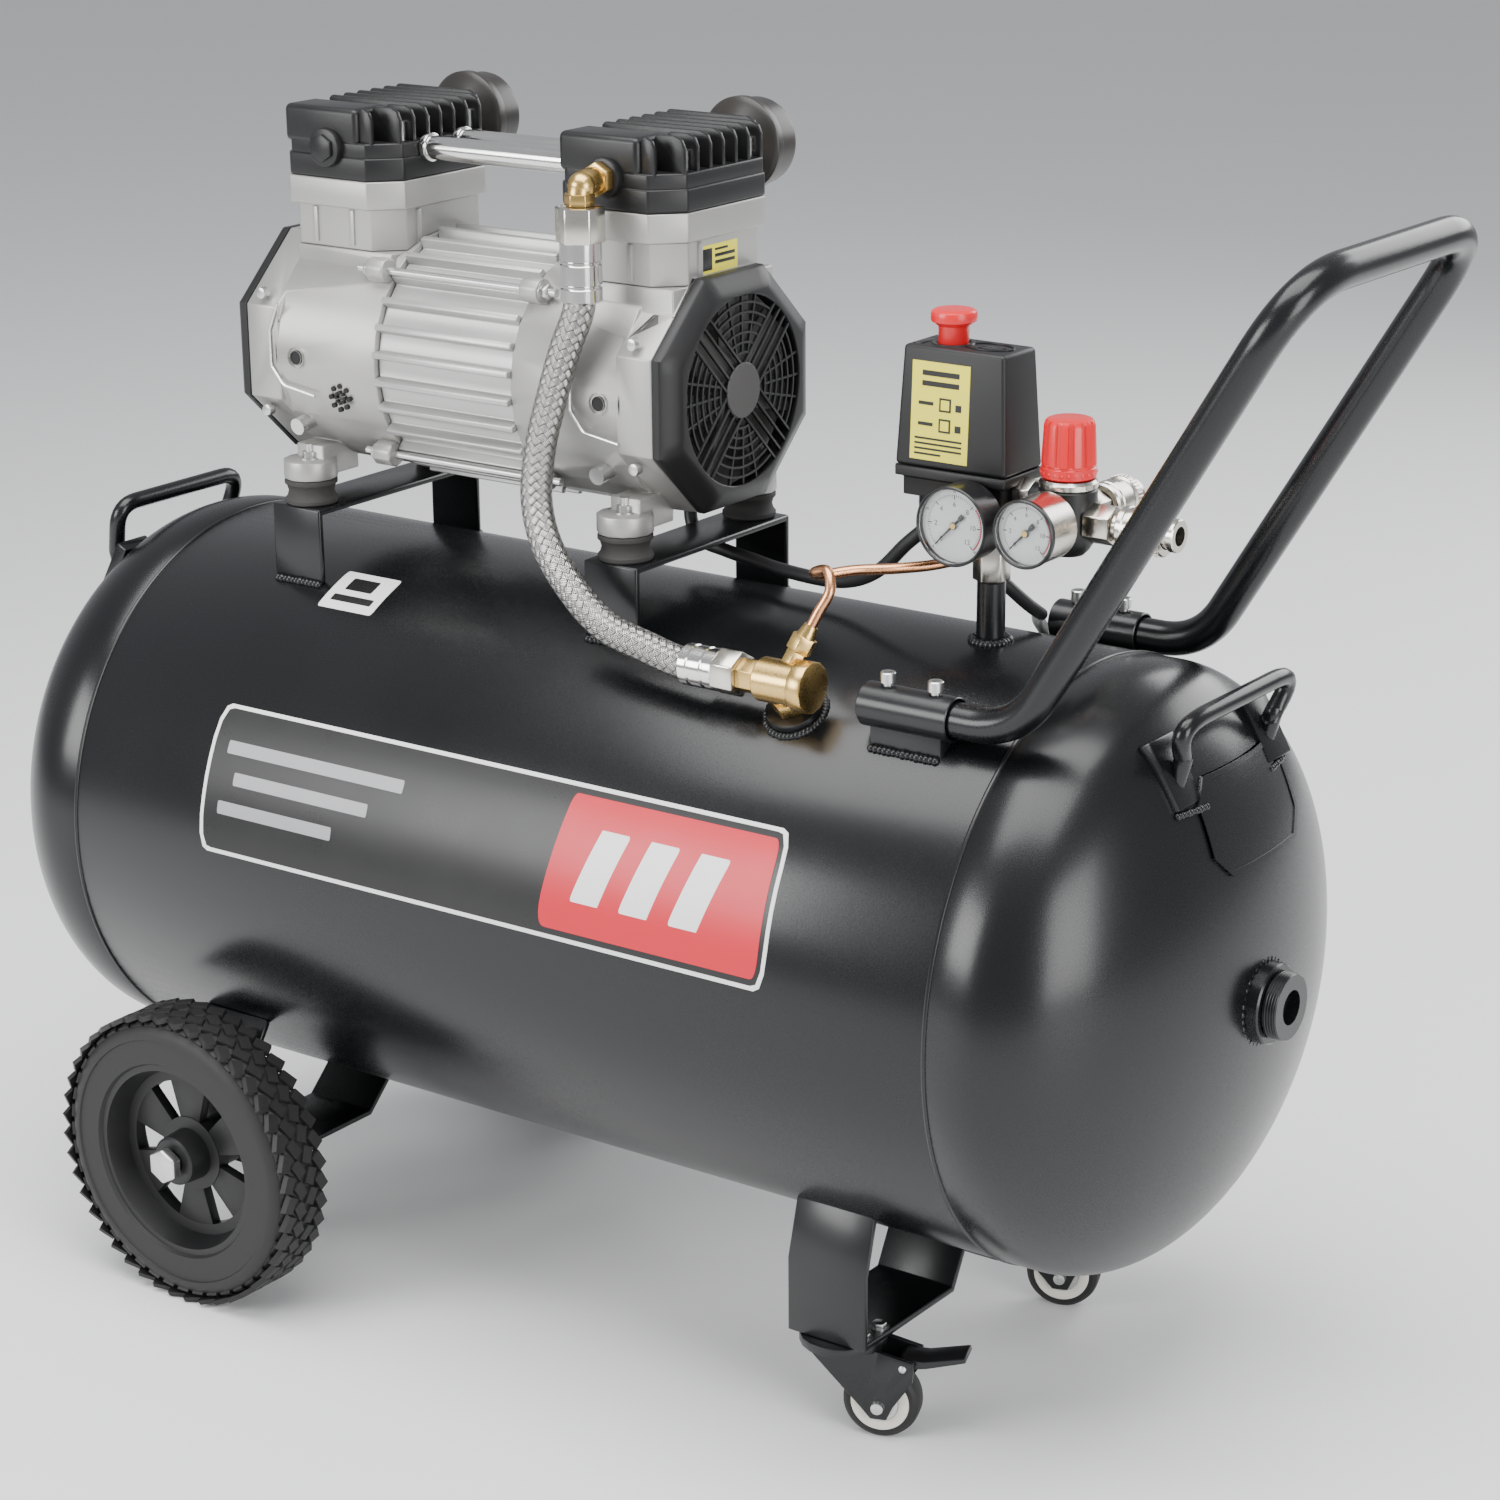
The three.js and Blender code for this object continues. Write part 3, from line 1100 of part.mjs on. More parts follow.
for (const [name, end] of [['front', -1], ['rear', 1]]) {
  const bracket = frontCasterBracket();
  add(`caster_bracket_${name}`, end < 0 ? bracket : mirrorY(bracket), blackPaint);
  add(`caster_fork_${name}`, placeCaster(forkBody(), end), blackPaint);
  add(`caster_wheel_${name}`, placeCaster(casterRoller(), end), softRubber);
  add(`brake_pedal_${name}`, placeCaster(brakePedal(), end), blackPlastic);
}

// ---------------------------------------------------------------- origin
// The origin is under the middle of the object, without its loose lead.
const looseLead = ['mains_lead', 'lead_coil', 'mains_plug'];
const extent = new THREE.Box3();
for (const mesh of compressor.children) {
  if (!looseLead.includes(mesh.name)) extent.expandByObject(mesh);
}
const middle = extent.getCenter(new THREE.Vector3());
compressor.position.set(-middle.x, -middle.y, -extent.min.z);
compressor.updateMatrixWorld(true);

export default compressor;
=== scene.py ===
"""Looks for the two-head air compressor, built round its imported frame."""

import json
import math
import random

import bmesh
import bpy
from mathutils import Matrix, Vector

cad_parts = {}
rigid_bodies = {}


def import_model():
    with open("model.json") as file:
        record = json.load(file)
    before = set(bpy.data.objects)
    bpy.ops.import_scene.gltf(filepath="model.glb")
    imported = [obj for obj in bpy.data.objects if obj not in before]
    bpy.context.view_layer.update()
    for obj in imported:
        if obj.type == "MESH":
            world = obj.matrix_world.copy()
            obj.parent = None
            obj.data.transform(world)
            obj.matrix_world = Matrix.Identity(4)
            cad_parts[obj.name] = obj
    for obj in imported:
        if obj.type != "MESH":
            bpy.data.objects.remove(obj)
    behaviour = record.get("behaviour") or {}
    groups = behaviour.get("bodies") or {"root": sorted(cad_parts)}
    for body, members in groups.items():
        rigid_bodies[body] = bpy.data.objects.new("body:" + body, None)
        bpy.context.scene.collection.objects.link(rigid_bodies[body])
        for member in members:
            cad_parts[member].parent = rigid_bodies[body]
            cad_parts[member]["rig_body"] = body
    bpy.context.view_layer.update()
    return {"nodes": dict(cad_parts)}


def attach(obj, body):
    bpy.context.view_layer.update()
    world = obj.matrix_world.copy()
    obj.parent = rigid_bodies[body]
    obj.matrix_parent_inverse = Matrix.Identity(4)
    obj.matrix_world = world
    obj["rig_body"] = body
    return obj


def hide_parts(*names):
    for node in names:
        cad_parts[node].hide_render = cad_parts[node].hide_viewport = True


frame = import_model()

# Pieces are drawn in millimetres about the middle of the tank barrel.
MIDDLE_X = 32.63
TO_FRAME = Matrix.Scale(0.001, 4) @ Matrix.Translation((-MIDDLE_X, 0, 0))
AXES = {"x": Vector((1, 0, 0)), "y": Vector((0, 1, 0)), "z": Vector((0, 0, 1))}


def in_frame(point):
    return TO_FRAME @ Vector(point)


# ---------------------------------------------------------------- camera, floor and light
def look_at(place, target, roll=0.0):
    """The placing of a camera or lamp that faces a target."""
    aim = (Vector(target) - Vector(place)).to_track_quat("-Z", "Y").to_matrix().to_4x4()
    return Matrix.Translation(place) @ aim @ Matrix.Rotation(roll, 4, "Z")


camera = bpy.data.objects.new("camera", bpy.data.cameras.new("camera"))
camera.data.sensor_width = 36
camera.data.lens = 86.41
camera.data.shift_y = 0.0661
camera.matrix_world = look_at((1.29194, -1.73364, 1.06972), (0.04717, 0, 0.31508), math.radians(-0.405))
bpy.context.scene.collection.objects.link(camera)
bpy.context.scene.camera = camera


def area_light(name, place, target, size, power):
    """A soft rectangular lamp that faces a target."""
    light = bpy.data.lights.new(name, "AREA")
    light.shape = "RECTANGLE"
    light.size, light.size_y = size
    light.energy = power
    lamp = bpy.data.objects.new(name, light)
    lamp.matrix_world = look_at(place, target)
    bpy.context.scene.collection.objects.link(lamp)


area_light("overhead_softbox", (0.1, -0.5, 2.6), (0, 0, 0.3), (2.6, 1.8), 105)
area_light("front_softbox", (-1.3, -2.5, 1.3), (0, 0, 0.3), (1.5, 1.2), 62)
area_light("right_softbox", (2.6, -0.9, 1.0), (0, 0, 0.3), (1.2, 1.6), 48)
area_light("rear_softbox", (0.6, 2.6, 1.6), (0, 0, 0.4), (2.0, 1.4), 46)

world = bpy.data.worlds.new("studio")
bpy.context.scene.world = world
world.use_nodes = True
world.node_tree.nodes["Background"].inputs["Color"].default_value = (0.93, 0.95, 1, 1)
world.node_tree.nodes["Background"].inputs["Strength"].default_value = 0.5


# ---------------------------------------------------------------- node groups and materials
class Nodes:
    """Short ways to add and join the nodes of one tree."""

    def __init__(self, tree):
        self.tree = tree

    def add(self, kind, values=None, **settings):
        node = self.tree.nodes.new(kind)
        for key, value in settings.items():
            setattr(node, key, value)
        for key, value in (values or {}).items():
            node.inputs[key].default_value = value
        return node

    def join(self, output, socket):
        self.tree.links.new(output, socket)

    def math(self, operation, a, b=0.0):
        node = self.add("ShaderNodeMath", operation=operation)
        for socket, value in zip(node.inputs, (a, b)):
            if isinstance(value, (int, float)):
                socket.default_value = value
            else:
                self.join(value, socket)
        return node.outputs[0]

    def mix(self, factor, a, b):
        node = self.add("ShaderNodeMix", data_type="RGBA")
        for socket, value in ((node.inputs[0], factor), (node.inputs[6], a), (node.inputs[7], b)):
            if isinstance(value, tuple):
                socket.default_value = value
            else:
                self.join(value, socket)
        return node.outputs[2]


def new_group(name, inputs, outputs):
    tree = bpy.data.node_groups.new(name, "ShaderNodeTree")
    for label, kind in inputs:
        tree.interface.new_socket(name=label, in_out="INPUT", socket_type=kind)
    for label, kind in outputs:
        tree.interface.new_socket(name=label, in_out="OUTPUT", socket_type=kind)
    nodes = Nodes(tree)
    return tree, nodes, nodes.add("NodeGroupInput"), nodes.add("NodeGroupOutput")


FLOAT, COLOR, VECTOR = "NodeSocketFloat", "NodeSocketColor", "NodeSocketVector"


def made_surface():
    """Colour patches, a roughness that wanders and a fine grain, for any made surface."""
    tree, n, given, out = new_group(
        "made_surface",
        [("Vector", VECTOR), ("Color", COLOR), ("Tint", COLOR), ("Patch Scale", FLOAT),
         ("Grain Scale", FLOAT), ("Roughness", FLOAT), ("Spread", FLOAT)],
        [("Color", COLOR), ("Roughness", FLOAT), ("Height", FLOAT)],
    )
    patch = n.add("ShaderNodeTexNoise", {"Detail": 3.0})
    grain = n.add("ShaderNodeTexNoise", {"Detail": 2.0})
    for noise, scale in ((patch, "Patch Scale"), (grain, "Grain Scale")):
        n.join(given.outputs["Vector"], noise.inputs["Vector"])
        n.join(given.outputs[scale], noise.inputs["Scale"])
    n.join(n.mix(patch.outputs["Fac"], given.outputs["Color"], given.outputs["Tint"]), out.inputs["Color"])
    wander = n.math("MULTIPLY", n.math("SUBTRACT", patch.outputs["Fac"], 0.5), given.outputs["Spread"])
    speck = n.math("MULTIPLY", n.math("SUBTRACT", grain.outputs["Fac"], 0.5), 0.12)
    rough = n.math("ADD", given.outputs["Roughness"], n.math("ADD", wander, speck))
    n.join(rough, out.inputs["Roughness"])
    n.join(grain.outputs["Fac"], out.inputs["Height"])
    return tree


def brushed_lines():
    """Fine scratches that run along X, as a height."""
    tree, n, given, out = new_group("brushed_lines", [("Vector", VECTOR), ("Scale", FLOAT)],
                                    [("Height", FLOAT)])
    stretch = n.add("ShaderNodeVectorMath", {1: (0.03, 1, 1)}, operation="MULTIPLY")
    n.join(given.outputs["Vector"], stretch.inputs[0])
    noise = n.add("ShaderNodeTexNoise", {"Detail": 3.0})
    n.join(stretch.outputs[0], noise.inputs["Vector"])
    n.join(given.outputs["Scale"], noise.inputs["Scale"])
    n.join(noise.outputs["Fac"], out.inputs["Height"])
    return tree


def braid_weave():
    """Bundles of wire that cross over and under, on a map of turns round and steps along, with a mask for
    painted shade in the creases between wires.
    """
    tree, n, given, out = new_group("braid_weave", [("UV", VECTOR), ("Cells", FLOAT)],
                                    [("Height", FLOAT), ("Painted Crease Shade", FLOAT)])
    turn = n.add("ShaderNodeMapping", {"Rotation": (0, 0, math.radians(45))})
    n.join(given.outputs["UV"], turn.inputs["Vector"])
    split = n.add("ShaderNodeSeparateXYZ")
    n.join(turn.outputs[0], split.inputs[0])
    across = n.math("MULTIPLY", split.outputs[0], given.outputs["Cells"])
    along = n.math("MULTIPLY", split.outputs[1], given.outputs["Cells"])
    checker = n.math("MODULO", n.math("ADD", n.math("FLOOR", across), n.math("FLOOR", along)), 2.0)
    over = n.math("ABSOLUTE", checker)
    wires = []
    for value in (across, along):
        wave = n.math("SINE", n.math("MULTIPLY", value, 8 * math.pi))
        wires.append(n.math("ADD", n.math("MULTIPLY", wave, 0.5), 0.5))
    crown = []
    for value in (across, along):
        crown.append(n.math("SINE", n.math("MULTIPLY", n.math("FRACT", value), math.pi)))
    first = n.math("MULTIPLY", over, n.math("MULTIPLY", wires[0], crown[1]))
    second = n.math("MULTIPLY", n.math("SUBTRACT", 1.0, over), n.math("MULTIPLY", wires[1], crown[0]))
    height = n.math("ADD", first, second)
    n.join(height, out.inputs["Height"])
    # Painted crease shade: 1 where the wire height is low, between the wires.
    n.join(n.math("GREATER_THAN", 0.22, height), out.inputs["Painted Crease Shade"])
    return tree


SURFACE = made_surface()
BRUSHED = brushed_lines()
WEAVE = braid_weave()


def finish(name, color, tint, rough, spread=0.12, patch=22, grain=1400, bump=0.12, depth=0.0002,
           metallic=0.0, coat=0.0, brushed=0.0, specular=0.4):
    """A material of the shared made surface, with its own colours, wear and relief."""
    look = bpy.data.materials.new(name)
    look.use_nodes = True
    n = Nodes(look.node_tree)
    shader = look.node_tree.nodes["Principled BSDF"]
    shader.inputs["Specular IOR Level"].default_value = specular
    place = n.add("ShaderNodeTexCoord")
    surface = n.add("ShaderNodeGroup", node_tree=SURFACE)
    n.join(place.outputs["Object"], surface.inputs["Vector"])
    for key, value in {"Color": (*color, 1), "Tint": (*tint, 1), "Patch Scale": patch, "Grain Scale": grain,
                       "Roughness": rough, "Spread": spread}.items():
        surface.inputs[key].default_value = value
    n.join(surface.outputs["Color"], shader.inputs["Base Color"])
    n.join(surface.outputs["Roughness"], shader.inputs["Roughness"])
    relief = n.add("ShaderNodeBump", {"Strength": bump, "Distance": depth})
    height = surface.outputs["Height"]
    if brushed:
        lines = n.add("ShaderNodeGroup", {"Scale": 1600}, node_tree=BRUSHED)
        n.join(place.outputs["Object"], lines.inputs["Vector"])
        height = n.math("ADD", height, n.math("MULTIPLY", lines.outputs["Height"], brushed))
    n.join(height, relief.inputs["Height"])
    n.join(relief.outputs["Normal"], shader.inputs["Normal"])
    shader.inputs["Metallic"].default_value = metallic
    shader.inputs["Coat Weight"].default_value = coat
    shader.inputs["Coat Roughness"].default_value = 0.18
    return look


powder_coat = finish("powder_coat", (0.003, 0.0033, 0.004), (0.005, 0.0055, 0.0065), 0.26,
                     patch=9, grain=1100, bump=0.14, coat=0.1)
bent_steel_paint = finish("bent_steel_paint", (0.004, 0.0043, 0.005), (0.007, 0.0075, 0.0085),
                          0.3,
                          patch=30, grain=1300, bump=0.14, coat=0.15)
die_casting = finish("die_casting", (0.36, 0.355, 0.34), (0.46, 0.455, 0.44), 0.44,
                     patch=18, grain=1700, bump=0.3, metallic=0.7)
ribbed_casting = finish("ribbed_casting", (0.44, 0.445, 0.43), (0.54, 0.545, 0.53), 0.4,
                        patch=26, grain=1600, bump=0.22, metallic=0.7)
machined_edge = finish("machined_edge", (0.7, 0.7, 0.69), (0.78, 0.78, 0.77), 0.28,
                       patch=40, bump=0.1, metallic=0.9, brushed=0.8)
head_casting = finish("head_casting", (0.006, 0.006, 0.0065), (0.011, 0.011, 0.0115), 0.36,
                      patch=35, grain=1500, bump=0.3)
moulded_black = finish("moulded_black", (0.007, 0.007, 0.0075), (0.012, 0.012, 0.0125), 0.44,
                       patch=30, grain=2200, bump=0.25)
glossy_black = finish("glossy_black", (0.01, 0.01, 0.011), (0.014, 0.014, 0.015), 0.3,
                      patch=30, grain=1800, bump=0.08)
filter_black = finish("filter_black", (0.014, 0.013, 0.013), (0.03, 0.026, 0.022), 0.34,
                      patch=30, grain=1800, bump=0.1)
fan_grey = finish("fan_grey", (0.045, 0.043, 0.042), (0.06, 0.057, 0.055), 0.5,
                  patch=30, grain=1800, bump=0.15)
buffer_rubber = finish("buffer_rubber", (0.024, 0.023, 0.022), (0.045, 0.042, 0.04), 0.72,
                       patch=60, grain=900, bump=0.4)
tyre_rubber = finish("tyre_rubber", (0.009, 0.009, 0.009), (0.016, 0.0155, 0.015), 0.55,
                     patch=40, grain=900, bump=0.3)
brass_look = finish("turned_brass", (0.72, 0.50, 0.19), (0.62, 0.41, 0.14), 0.28,
                    patch=60, metallic=1.0, bump=0.1)
copper_look = finish("bent_copper", (0.83, 0.42, 0.23), (0.72, 0.33, 0.16), 0.26,
                     patch=50, metallic=1.0, bump=0.06)
nickel_look = finish("nickel_plate", (0.72, 0.69, 0.62), (0.62, 0.59, 0.53), 0.22,
                     patch=70, metallic=1.0, bump=0.08)
zinc_look = finish("zinc_plate", (0.68, 0.68, 0.66), (0.56, 0.57, 0.56), 0.3,
                   patch=90, metallic=1.0, bump=0.15)
chrome_tube = finish("chrome_tube", (0.8, 0.79, 0.77), (0.74, 0.73, 0.71), 0.14,
                     patch=30, metallic=1.0, bump=0.05)
bright_steel = finish("bright_steel", (0.42, 0.42, 0.43), (0.34, 0.34, 0.35), 0.35,
                    patch=50, metallic=1.0, bump=0.1, brushed=0.6)
red_look = finish("moulded_red", (0.72, 0.012, 0.018), (0.63, 0.01, 0.014), 0.3,
                  patch=30, grain=1500, bump=0.1, coat=0.2)
cord_look = finish("cord_sheath", (0.014, 0.014, 0.015), (0.022, 0.022, 0.023), 0.42,
                   patch=60, grain=1500, bump=0.2)
cream_look = finish("cream_ring", (0.72, 0.69, 0.62), (0.64, 0.61, 0.54), 0.4,
                    patch=60, grain=1500, bump=0.1)
dial_white = finish("dial_white", (0.86, 0.86, 0.85), (0.82, 0.82, 0.81), 0.45,
                    patch=60, grain=1200, bump=0.03)


def flat_print(name, color, tint, rough=0.32, patch=20):
    return finish(name, color, tint, rough, patch=patch, bump=0.03)


ink_black = flat_print("dial_ink", (0.02, 0.02, 0.02), (0.04, 0.04, 0.04), 0.5, 80)
ink_red = flat_print("dial_red", (0.6, 0.02, 0.03), (0.5, 0.02, 0.03), 0.5, 80)
print_white = flat_print("print_white", (0.82, 0.82, 0.81), (0.78, 0.78, 0.77))
print_red = flat_print("print_red", (0.62, 0.012, 0.03), (0.56, 0.01, 0.025))
print_black = flat_print("print_black", (0.012, 0.012, 0.012), (0.018, 0.018, 0.018), 0.3)
print_grey = flat_print("print_grey", (0.35, 0.35, 0.36), (0.3, 0.3, 0.31))
print_yellow = flat_print("print_yellow", (0.82, 0.75, 0.05), (0.78, 0.7, 0.05), 0.35)
# Painted shade: a near-black colour for discs that stand in for the shade inside holes.
painted_hole_shade = finish("painted_hole_shade", (0.008, 0.008, 0.008), (0.014, 0.014, 0.014), 0.7,
                     bump=0.1)

clear_glass = finish("clear_glass", (0.95, 0.96, 0.96), (0.92, 0.94, 0.94), 0.06, spread=0.02,
                     bump=0.02)
clear_glass.node_tree.nodes["Principled BSDF"].inputs["Transmission Weight"].default_value = 1.0
clear_glass.node_tree.nodes["Principled BSDF"].inputs["IOR"].default_value = 1.3

braid_look = finish("steel_braid", (0.56, 0.55, 0.53), (0.66, 0.65, 0.63), 0.3,
                    patch=40, metallic=1.0, bump=0.1)


def add_weave(look):
    """Lays the braid over a look, with painted shade (a dark grey) in the creases between its wires."""
    n = Nodes(look.node_tree)
    shader = look.node_tree.nodes["Principled BSDF"]
    weave = n.add("ShaderNodeGroup", {"Cells": 1.0}, node_tree=WEAVE)
    uv = n.add("ShaderNodeUVMap", uv_map="around_along")
    n.join(uv.outputs["UV"], weave.inputs["UV"])
    base = shader.inputs["Base Color"].links[0].from_socket
    # Painted shade: a dark grey mixed into the creases between the wires.
    n.join(n.mix(weave.outputs["Painted Crease Shade"], base, (0.09, 0.085, 0.08, 1)), shader.inputs["Base Color"])
    bump = shader.inputs["Normal"].links[0].from_node
    bump.inputs["Strength"].default_value = 0.5
    bump.inputs["Distance"].default_value = 0.0006
    n.join(weave.outputs["Height"], bump.inputs["Height"])


add_weave(braid_look)


# ---------------------------------------------------------------- modelling helpers, in millimetres
def box(bm, low, high, round_off=0.0, turn=None):
    """A box between two corners, turned about its middle and rounded if asked."""
    low, high = Vector(low), Vector(high)
    size = high - low
    place = Matrix.Translation((low + high) / 2)
    if turn:
        place = place @ turn
    made = bmesh.ops.create_cube(bm, size=1, matrix=place @ Matrix.Diagonal((*size, 1)))
    if round_off:
        soften(bm, made["verts"], round_off)
    return made["verts"]


def soften(bm, verts, width, segments=2, sharper_than=25):
    """Rounds the sharp edges among these vertices."""
    chosen = set(verts)
    edges = [e for e in bm.edges if e.verts[0] in chosen and e.verts[1] in chosen
             and len(e.link_faces) == 2 and e.calc_face_angle() > math.radians(sharper_than)]
    bmesh.ops.bevel(bm, geom=edges, offset=width, offset_type="OFFSET", segments=segments, profile=0.5,
                    affect="EDGES", clamp_overlap=True, material=-1)


def rod(bm, start, end, radius, sides=32, end_radius=None, round_off=0.0):
    """A straight round or many-sided bar between two points."""
    start, end = Vector(start), Vector(end)
    along = end - start
    place = Matrix.Translation((start + end) / 2) @ along.to_track_quat("Z", "Y").to_matrix().to_4x4()
    made = bmesh.ops.create_cone(bm, cap_ends=True, cap_tris=False, segments=sides, radius1=radius,
                                 radius2=radius if end_radius is None else end_radius,
                                 depth=along.length, matrix=place)
    if round_off:
        soften(bm, made["verts"], round_off, sharper_than=50)
    return made["verts"]


def turned(bm, axis, centre, profile, steps=64, sweep=360.0, start=0.0):
    """Spins a line of (along, radius) points about an axis through `centre`."""
    unit = AXES[axis]
    out = AXES["z"] if axis == "x" else AXES["x"]
    out = Matrix.Rotation(math.radians(start), 3, unit) @ out
    centre = Vector(centre)
    verts = [bm.verts.new(centre + unit * a + out * r) for a, r in profile]
    edges = [bm.edges.new(pair) for pair in zip(verts, verts[1:])]
    full = abs(sweep) >= 360
    made = bmesh.ops.spin(bm, geom=verts + edges, cent=centre, axis=unit, dvec=(0, 0, 0),
                          angle=math.radians(sweep), steps=steps, use_merge=full)
    if not full:
        for rim in (edges, [g for g in made["geom_last"] if isinstance(g, bmesh.types.BMEdge)]):
            bmesh.ops.contextual_create(bm, geom=rim)


def prism(bm, axis, outline, low, high, round_off=0.0, segments=2):
    """Pushes an outline along an axis; its two numbers are the other two axes in X, Y, Z order."""
    def corner(u, v):
        return {"x": (low, u, v), "y": (u, low, v), "z": (u, v, low)}[axis]

    face = bm.faces.new([bm.verts.new(corner(u, v)) for u, v in outline])
    pushed = bmesh.ops.extrude_face_region(bm, geom=[face])
    verts = [g for g in pushed["geom"] if isinstance(g, bmesh.types.BMVert)]
    bmesh.ops.translate(bm, verts=verts, vec=AXES[axis] * (high - low))
    every = verts + list(face.verts)
    if round_off:
        soften(bm, every, round_off, segments)
    return every


def skin(bm, loops):
    """Joins closed loops of points, each to the next, into one surface."""
    rings = []
    for points in loops:
        verts = [bm.verts.new(p) for p in points]
        rings.append([bm.edges.new((a, b)) for a, b in zip(verts, verts[1:] + verts[:1])])
    for near, far in zip(rings, rings[1:]):
        bmesh.ops.bridge_loops(bm, edges=near + far)


def smooth_line(points, steps=8):
    """Points along a curve that passes through every given point."""
    line = [Vector(p) for p in points]
    ends = [line[0] * 2 - line[1]] + line + [line[-1] * 2 - line[-2]]
    made = []
    for p0, p1, p2, p3 in zip(ends, ends[1:], ends[2:], ends[3:]):
        t1 = math.sqrt((p1 - p0).length)
        t2 = t1 + math.sqrt((p2 - p1).length)
        t3 = t2 + math.sqrt((p3 - p2).length)
        for k in range(steps):
            t = t1 + (t2 - t1) * k / steps
            a1 = p0 * ((t1 - t) / t1) + p1 * (t / t1)
            a2 = p1 * ((t2 - t) / (t2 - t1)) + p2 * ((t - t1) / (t2 - t1))
            a3 = p2 * ((t3 - t) / (t3 - t2)) + p3 * ((t - t2) / (t3 - t2))
            b1 = a1 * ((t2 - t) / t2) + a2 * (t / t2)
            b2 = a2 * ((t3 - t) / (t3 - t1)) + a3 * ((t - t1) / (t3 - t1))
            made.append(b1 * ((t2 - t) / (t2 - t1)) + b2 * ((t - t1) / (t2 - t1)))
    return made + [line[-1]]


def rounded_line(points, radii, steps=12):
    """Straight runs whose corners are rounded."""
    corners = [Vector(p) for p in points]
    made = [corners[0]]
    for last, corner, after, radius in zip(corners, corners[1:], corners[2:], radii):
        back, ahead = (last - corner).normalized(), (after - corner).normalized()
        reach = radius / math.tan(back.angle(ahead) / 2)
        enter, leave = corner + back * reach, corner + ahead * reach
        for k in range(steps + 1):
            t = k / steps
            made.append(enter * (1 - t) ** 2 + corner * (2 * t * (1 - t)) + leave * t ** 2)
    return made + [corners[-1]]


def tube(bm, points, radius, roundness=6):
    """A round tube of 4 + 2 x roundness sides along a line of points."""
    curve = bpy.data.curves.new("tube", "CURVE")
    curve.dimensions = "3D"
    curve.bevel_depth = radius
    curve.bevel_resolution = roundness
    curve.use_fill_caps = True
    spline = curve.splines.new("POLY")
    spline.points.add(len(points) - 1)
    for knot, point in zip(spline.points, points):
        knot.co = (*point, 1)
    holder = bpy.data.objects.new("tube", curve)
    mesh = bpy.data.meshes.new_from_object(holder)
    bm.from_mesh(mesh)
    bpy.data.objects.remove(holder)
    bpy.data.curves.remove(curve)
    bpy.data.meshes.remove(mesh)


def bead(bm, points, radius, seed=0):
    """A weld bead: small overlapping drops along a line."""
    draw = random.Random(seed)
    for point in points:
        size = radius * draw.uniform(0.88, 1.12)
        drop = Matrix.Translation(point) @ Matrix.Diagonal((size, size, size, 1))
        bmesh.ops.create_icosphere(bm, subdivisions=2, radius=1, matrix=drop)


def mirrored(bm, axis):
    """Turns the whole mesh into its mirror image across the middle."""
    bmesh.ops.transform(bm, matrix=Matrix.Scale(-1, 4, AXES[axis]), verts=bm.verts)


def made_piece(bm, name, look, body="frame", stands_for=(), smooth=32, looks=()):
    """Makes a finished piece of this shape; `looks` are (material, test of a face's middle)."""
    bmesh.ops.remove_doubles(bm, verts=bm.verts, dist=0.0005)
    bmesh.ops.recalc_face_normals(bm, faces=bm.faces)
    for number, (_, test) in enumerate(looks, 1):
        for face in bm.faces:
            if test(face.calc_center_median()):
                face.material_index = number
    bmesh.ops.transform(bm, matrix=TO_FRAME, verts=bm.verts)
    mesh = bpy.data.meshes.new(name)
    bm.to_mesh(mesh)
    bm.free()
    mesh.materials.append(look)
    for other, _ in looks:
        mesh.materials.append(other)
    mesh.shade_smooth()
    mesh.set_sharp_from_angle(angle=math.radians(smooth))
    piece = bpy.data.objects.new(name, mesh)
    bpy.context.scene.collection.objects.link(piece)
    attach(piece, body)
    if stands_for:
        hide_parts(*stands_for)
    return piece


def refined(node, look, width=0.6, sharper_than=32, looks=()):
    """A copy of a CAD node with rounded edges, which stands for it."""
    source = frame["nodes"][node]
    bm = bmesh.new()
    bm.from_mesh(source.data)
    bmesh.ops.transform(bm, matrix=TO_FRAME.inverted(), verts=bm.verts)
    bmesh.ops.remove_doubles(bm, verts=bm.verts, dist=0.01)
    bmesh.ops.dissolve_limit(bm, angle_limit=math.radians(1), verts=bm.verts, edges=bm.edges)
    edges = [e for e in bm.edges if len(e.link_faces) == 2
             and e.calc_face_angle() > math.radians(sharper_than) and e.calc_length() > 1.5 * width]
    bmesh.ops.bevel(bm, geom=edges, offset=width, offset_type="OFFSET", segments=2, profile=0.5,
                    affect="EDGES", clamp_overlap=False, loop_slide=True, material=-1)
    return made_piece(bm, node + "_shape", look, body=source["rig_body"], stands_for=(node,), looks=looks)


# ---------------------------------------------------------------- mains lead
LEAD_RADIUS = 4
TANK_RADIUS, TANK_Z = 185, 295
COIL_X, COIL_Y, COIL_RADIUS = -60, 455, 56.3
COIL_TURNS, COIL_PITCH, COIL_INNER = 2.5, 8.05, 32.2
LAYER_RISE, LAYER_SPREAD, LAYER_SWEEP = 8.2, 1.8, math.radians(330)
LEAVE_TURN, LEAVE_BEND = math.radians(60), 36
GLAND = (229.6, 10, 554)


def over_tank(x, y, gap):
    """A place for the lead at this gap above the barrel."""
    radius = TANK_RADIUS + LEAD_RADIUS + gap
    return x, y, TANK_Z + math.sqrt(radius ** 2 - y ** 2)


def beside_tank(x, degrees, gap):
    """The same, given as an angle from straight up."""
    return over_tank(x, (TANK_RADIUS + LEAD_RADIUS + gap) * math.sin(math.radians(degrees)), gap)


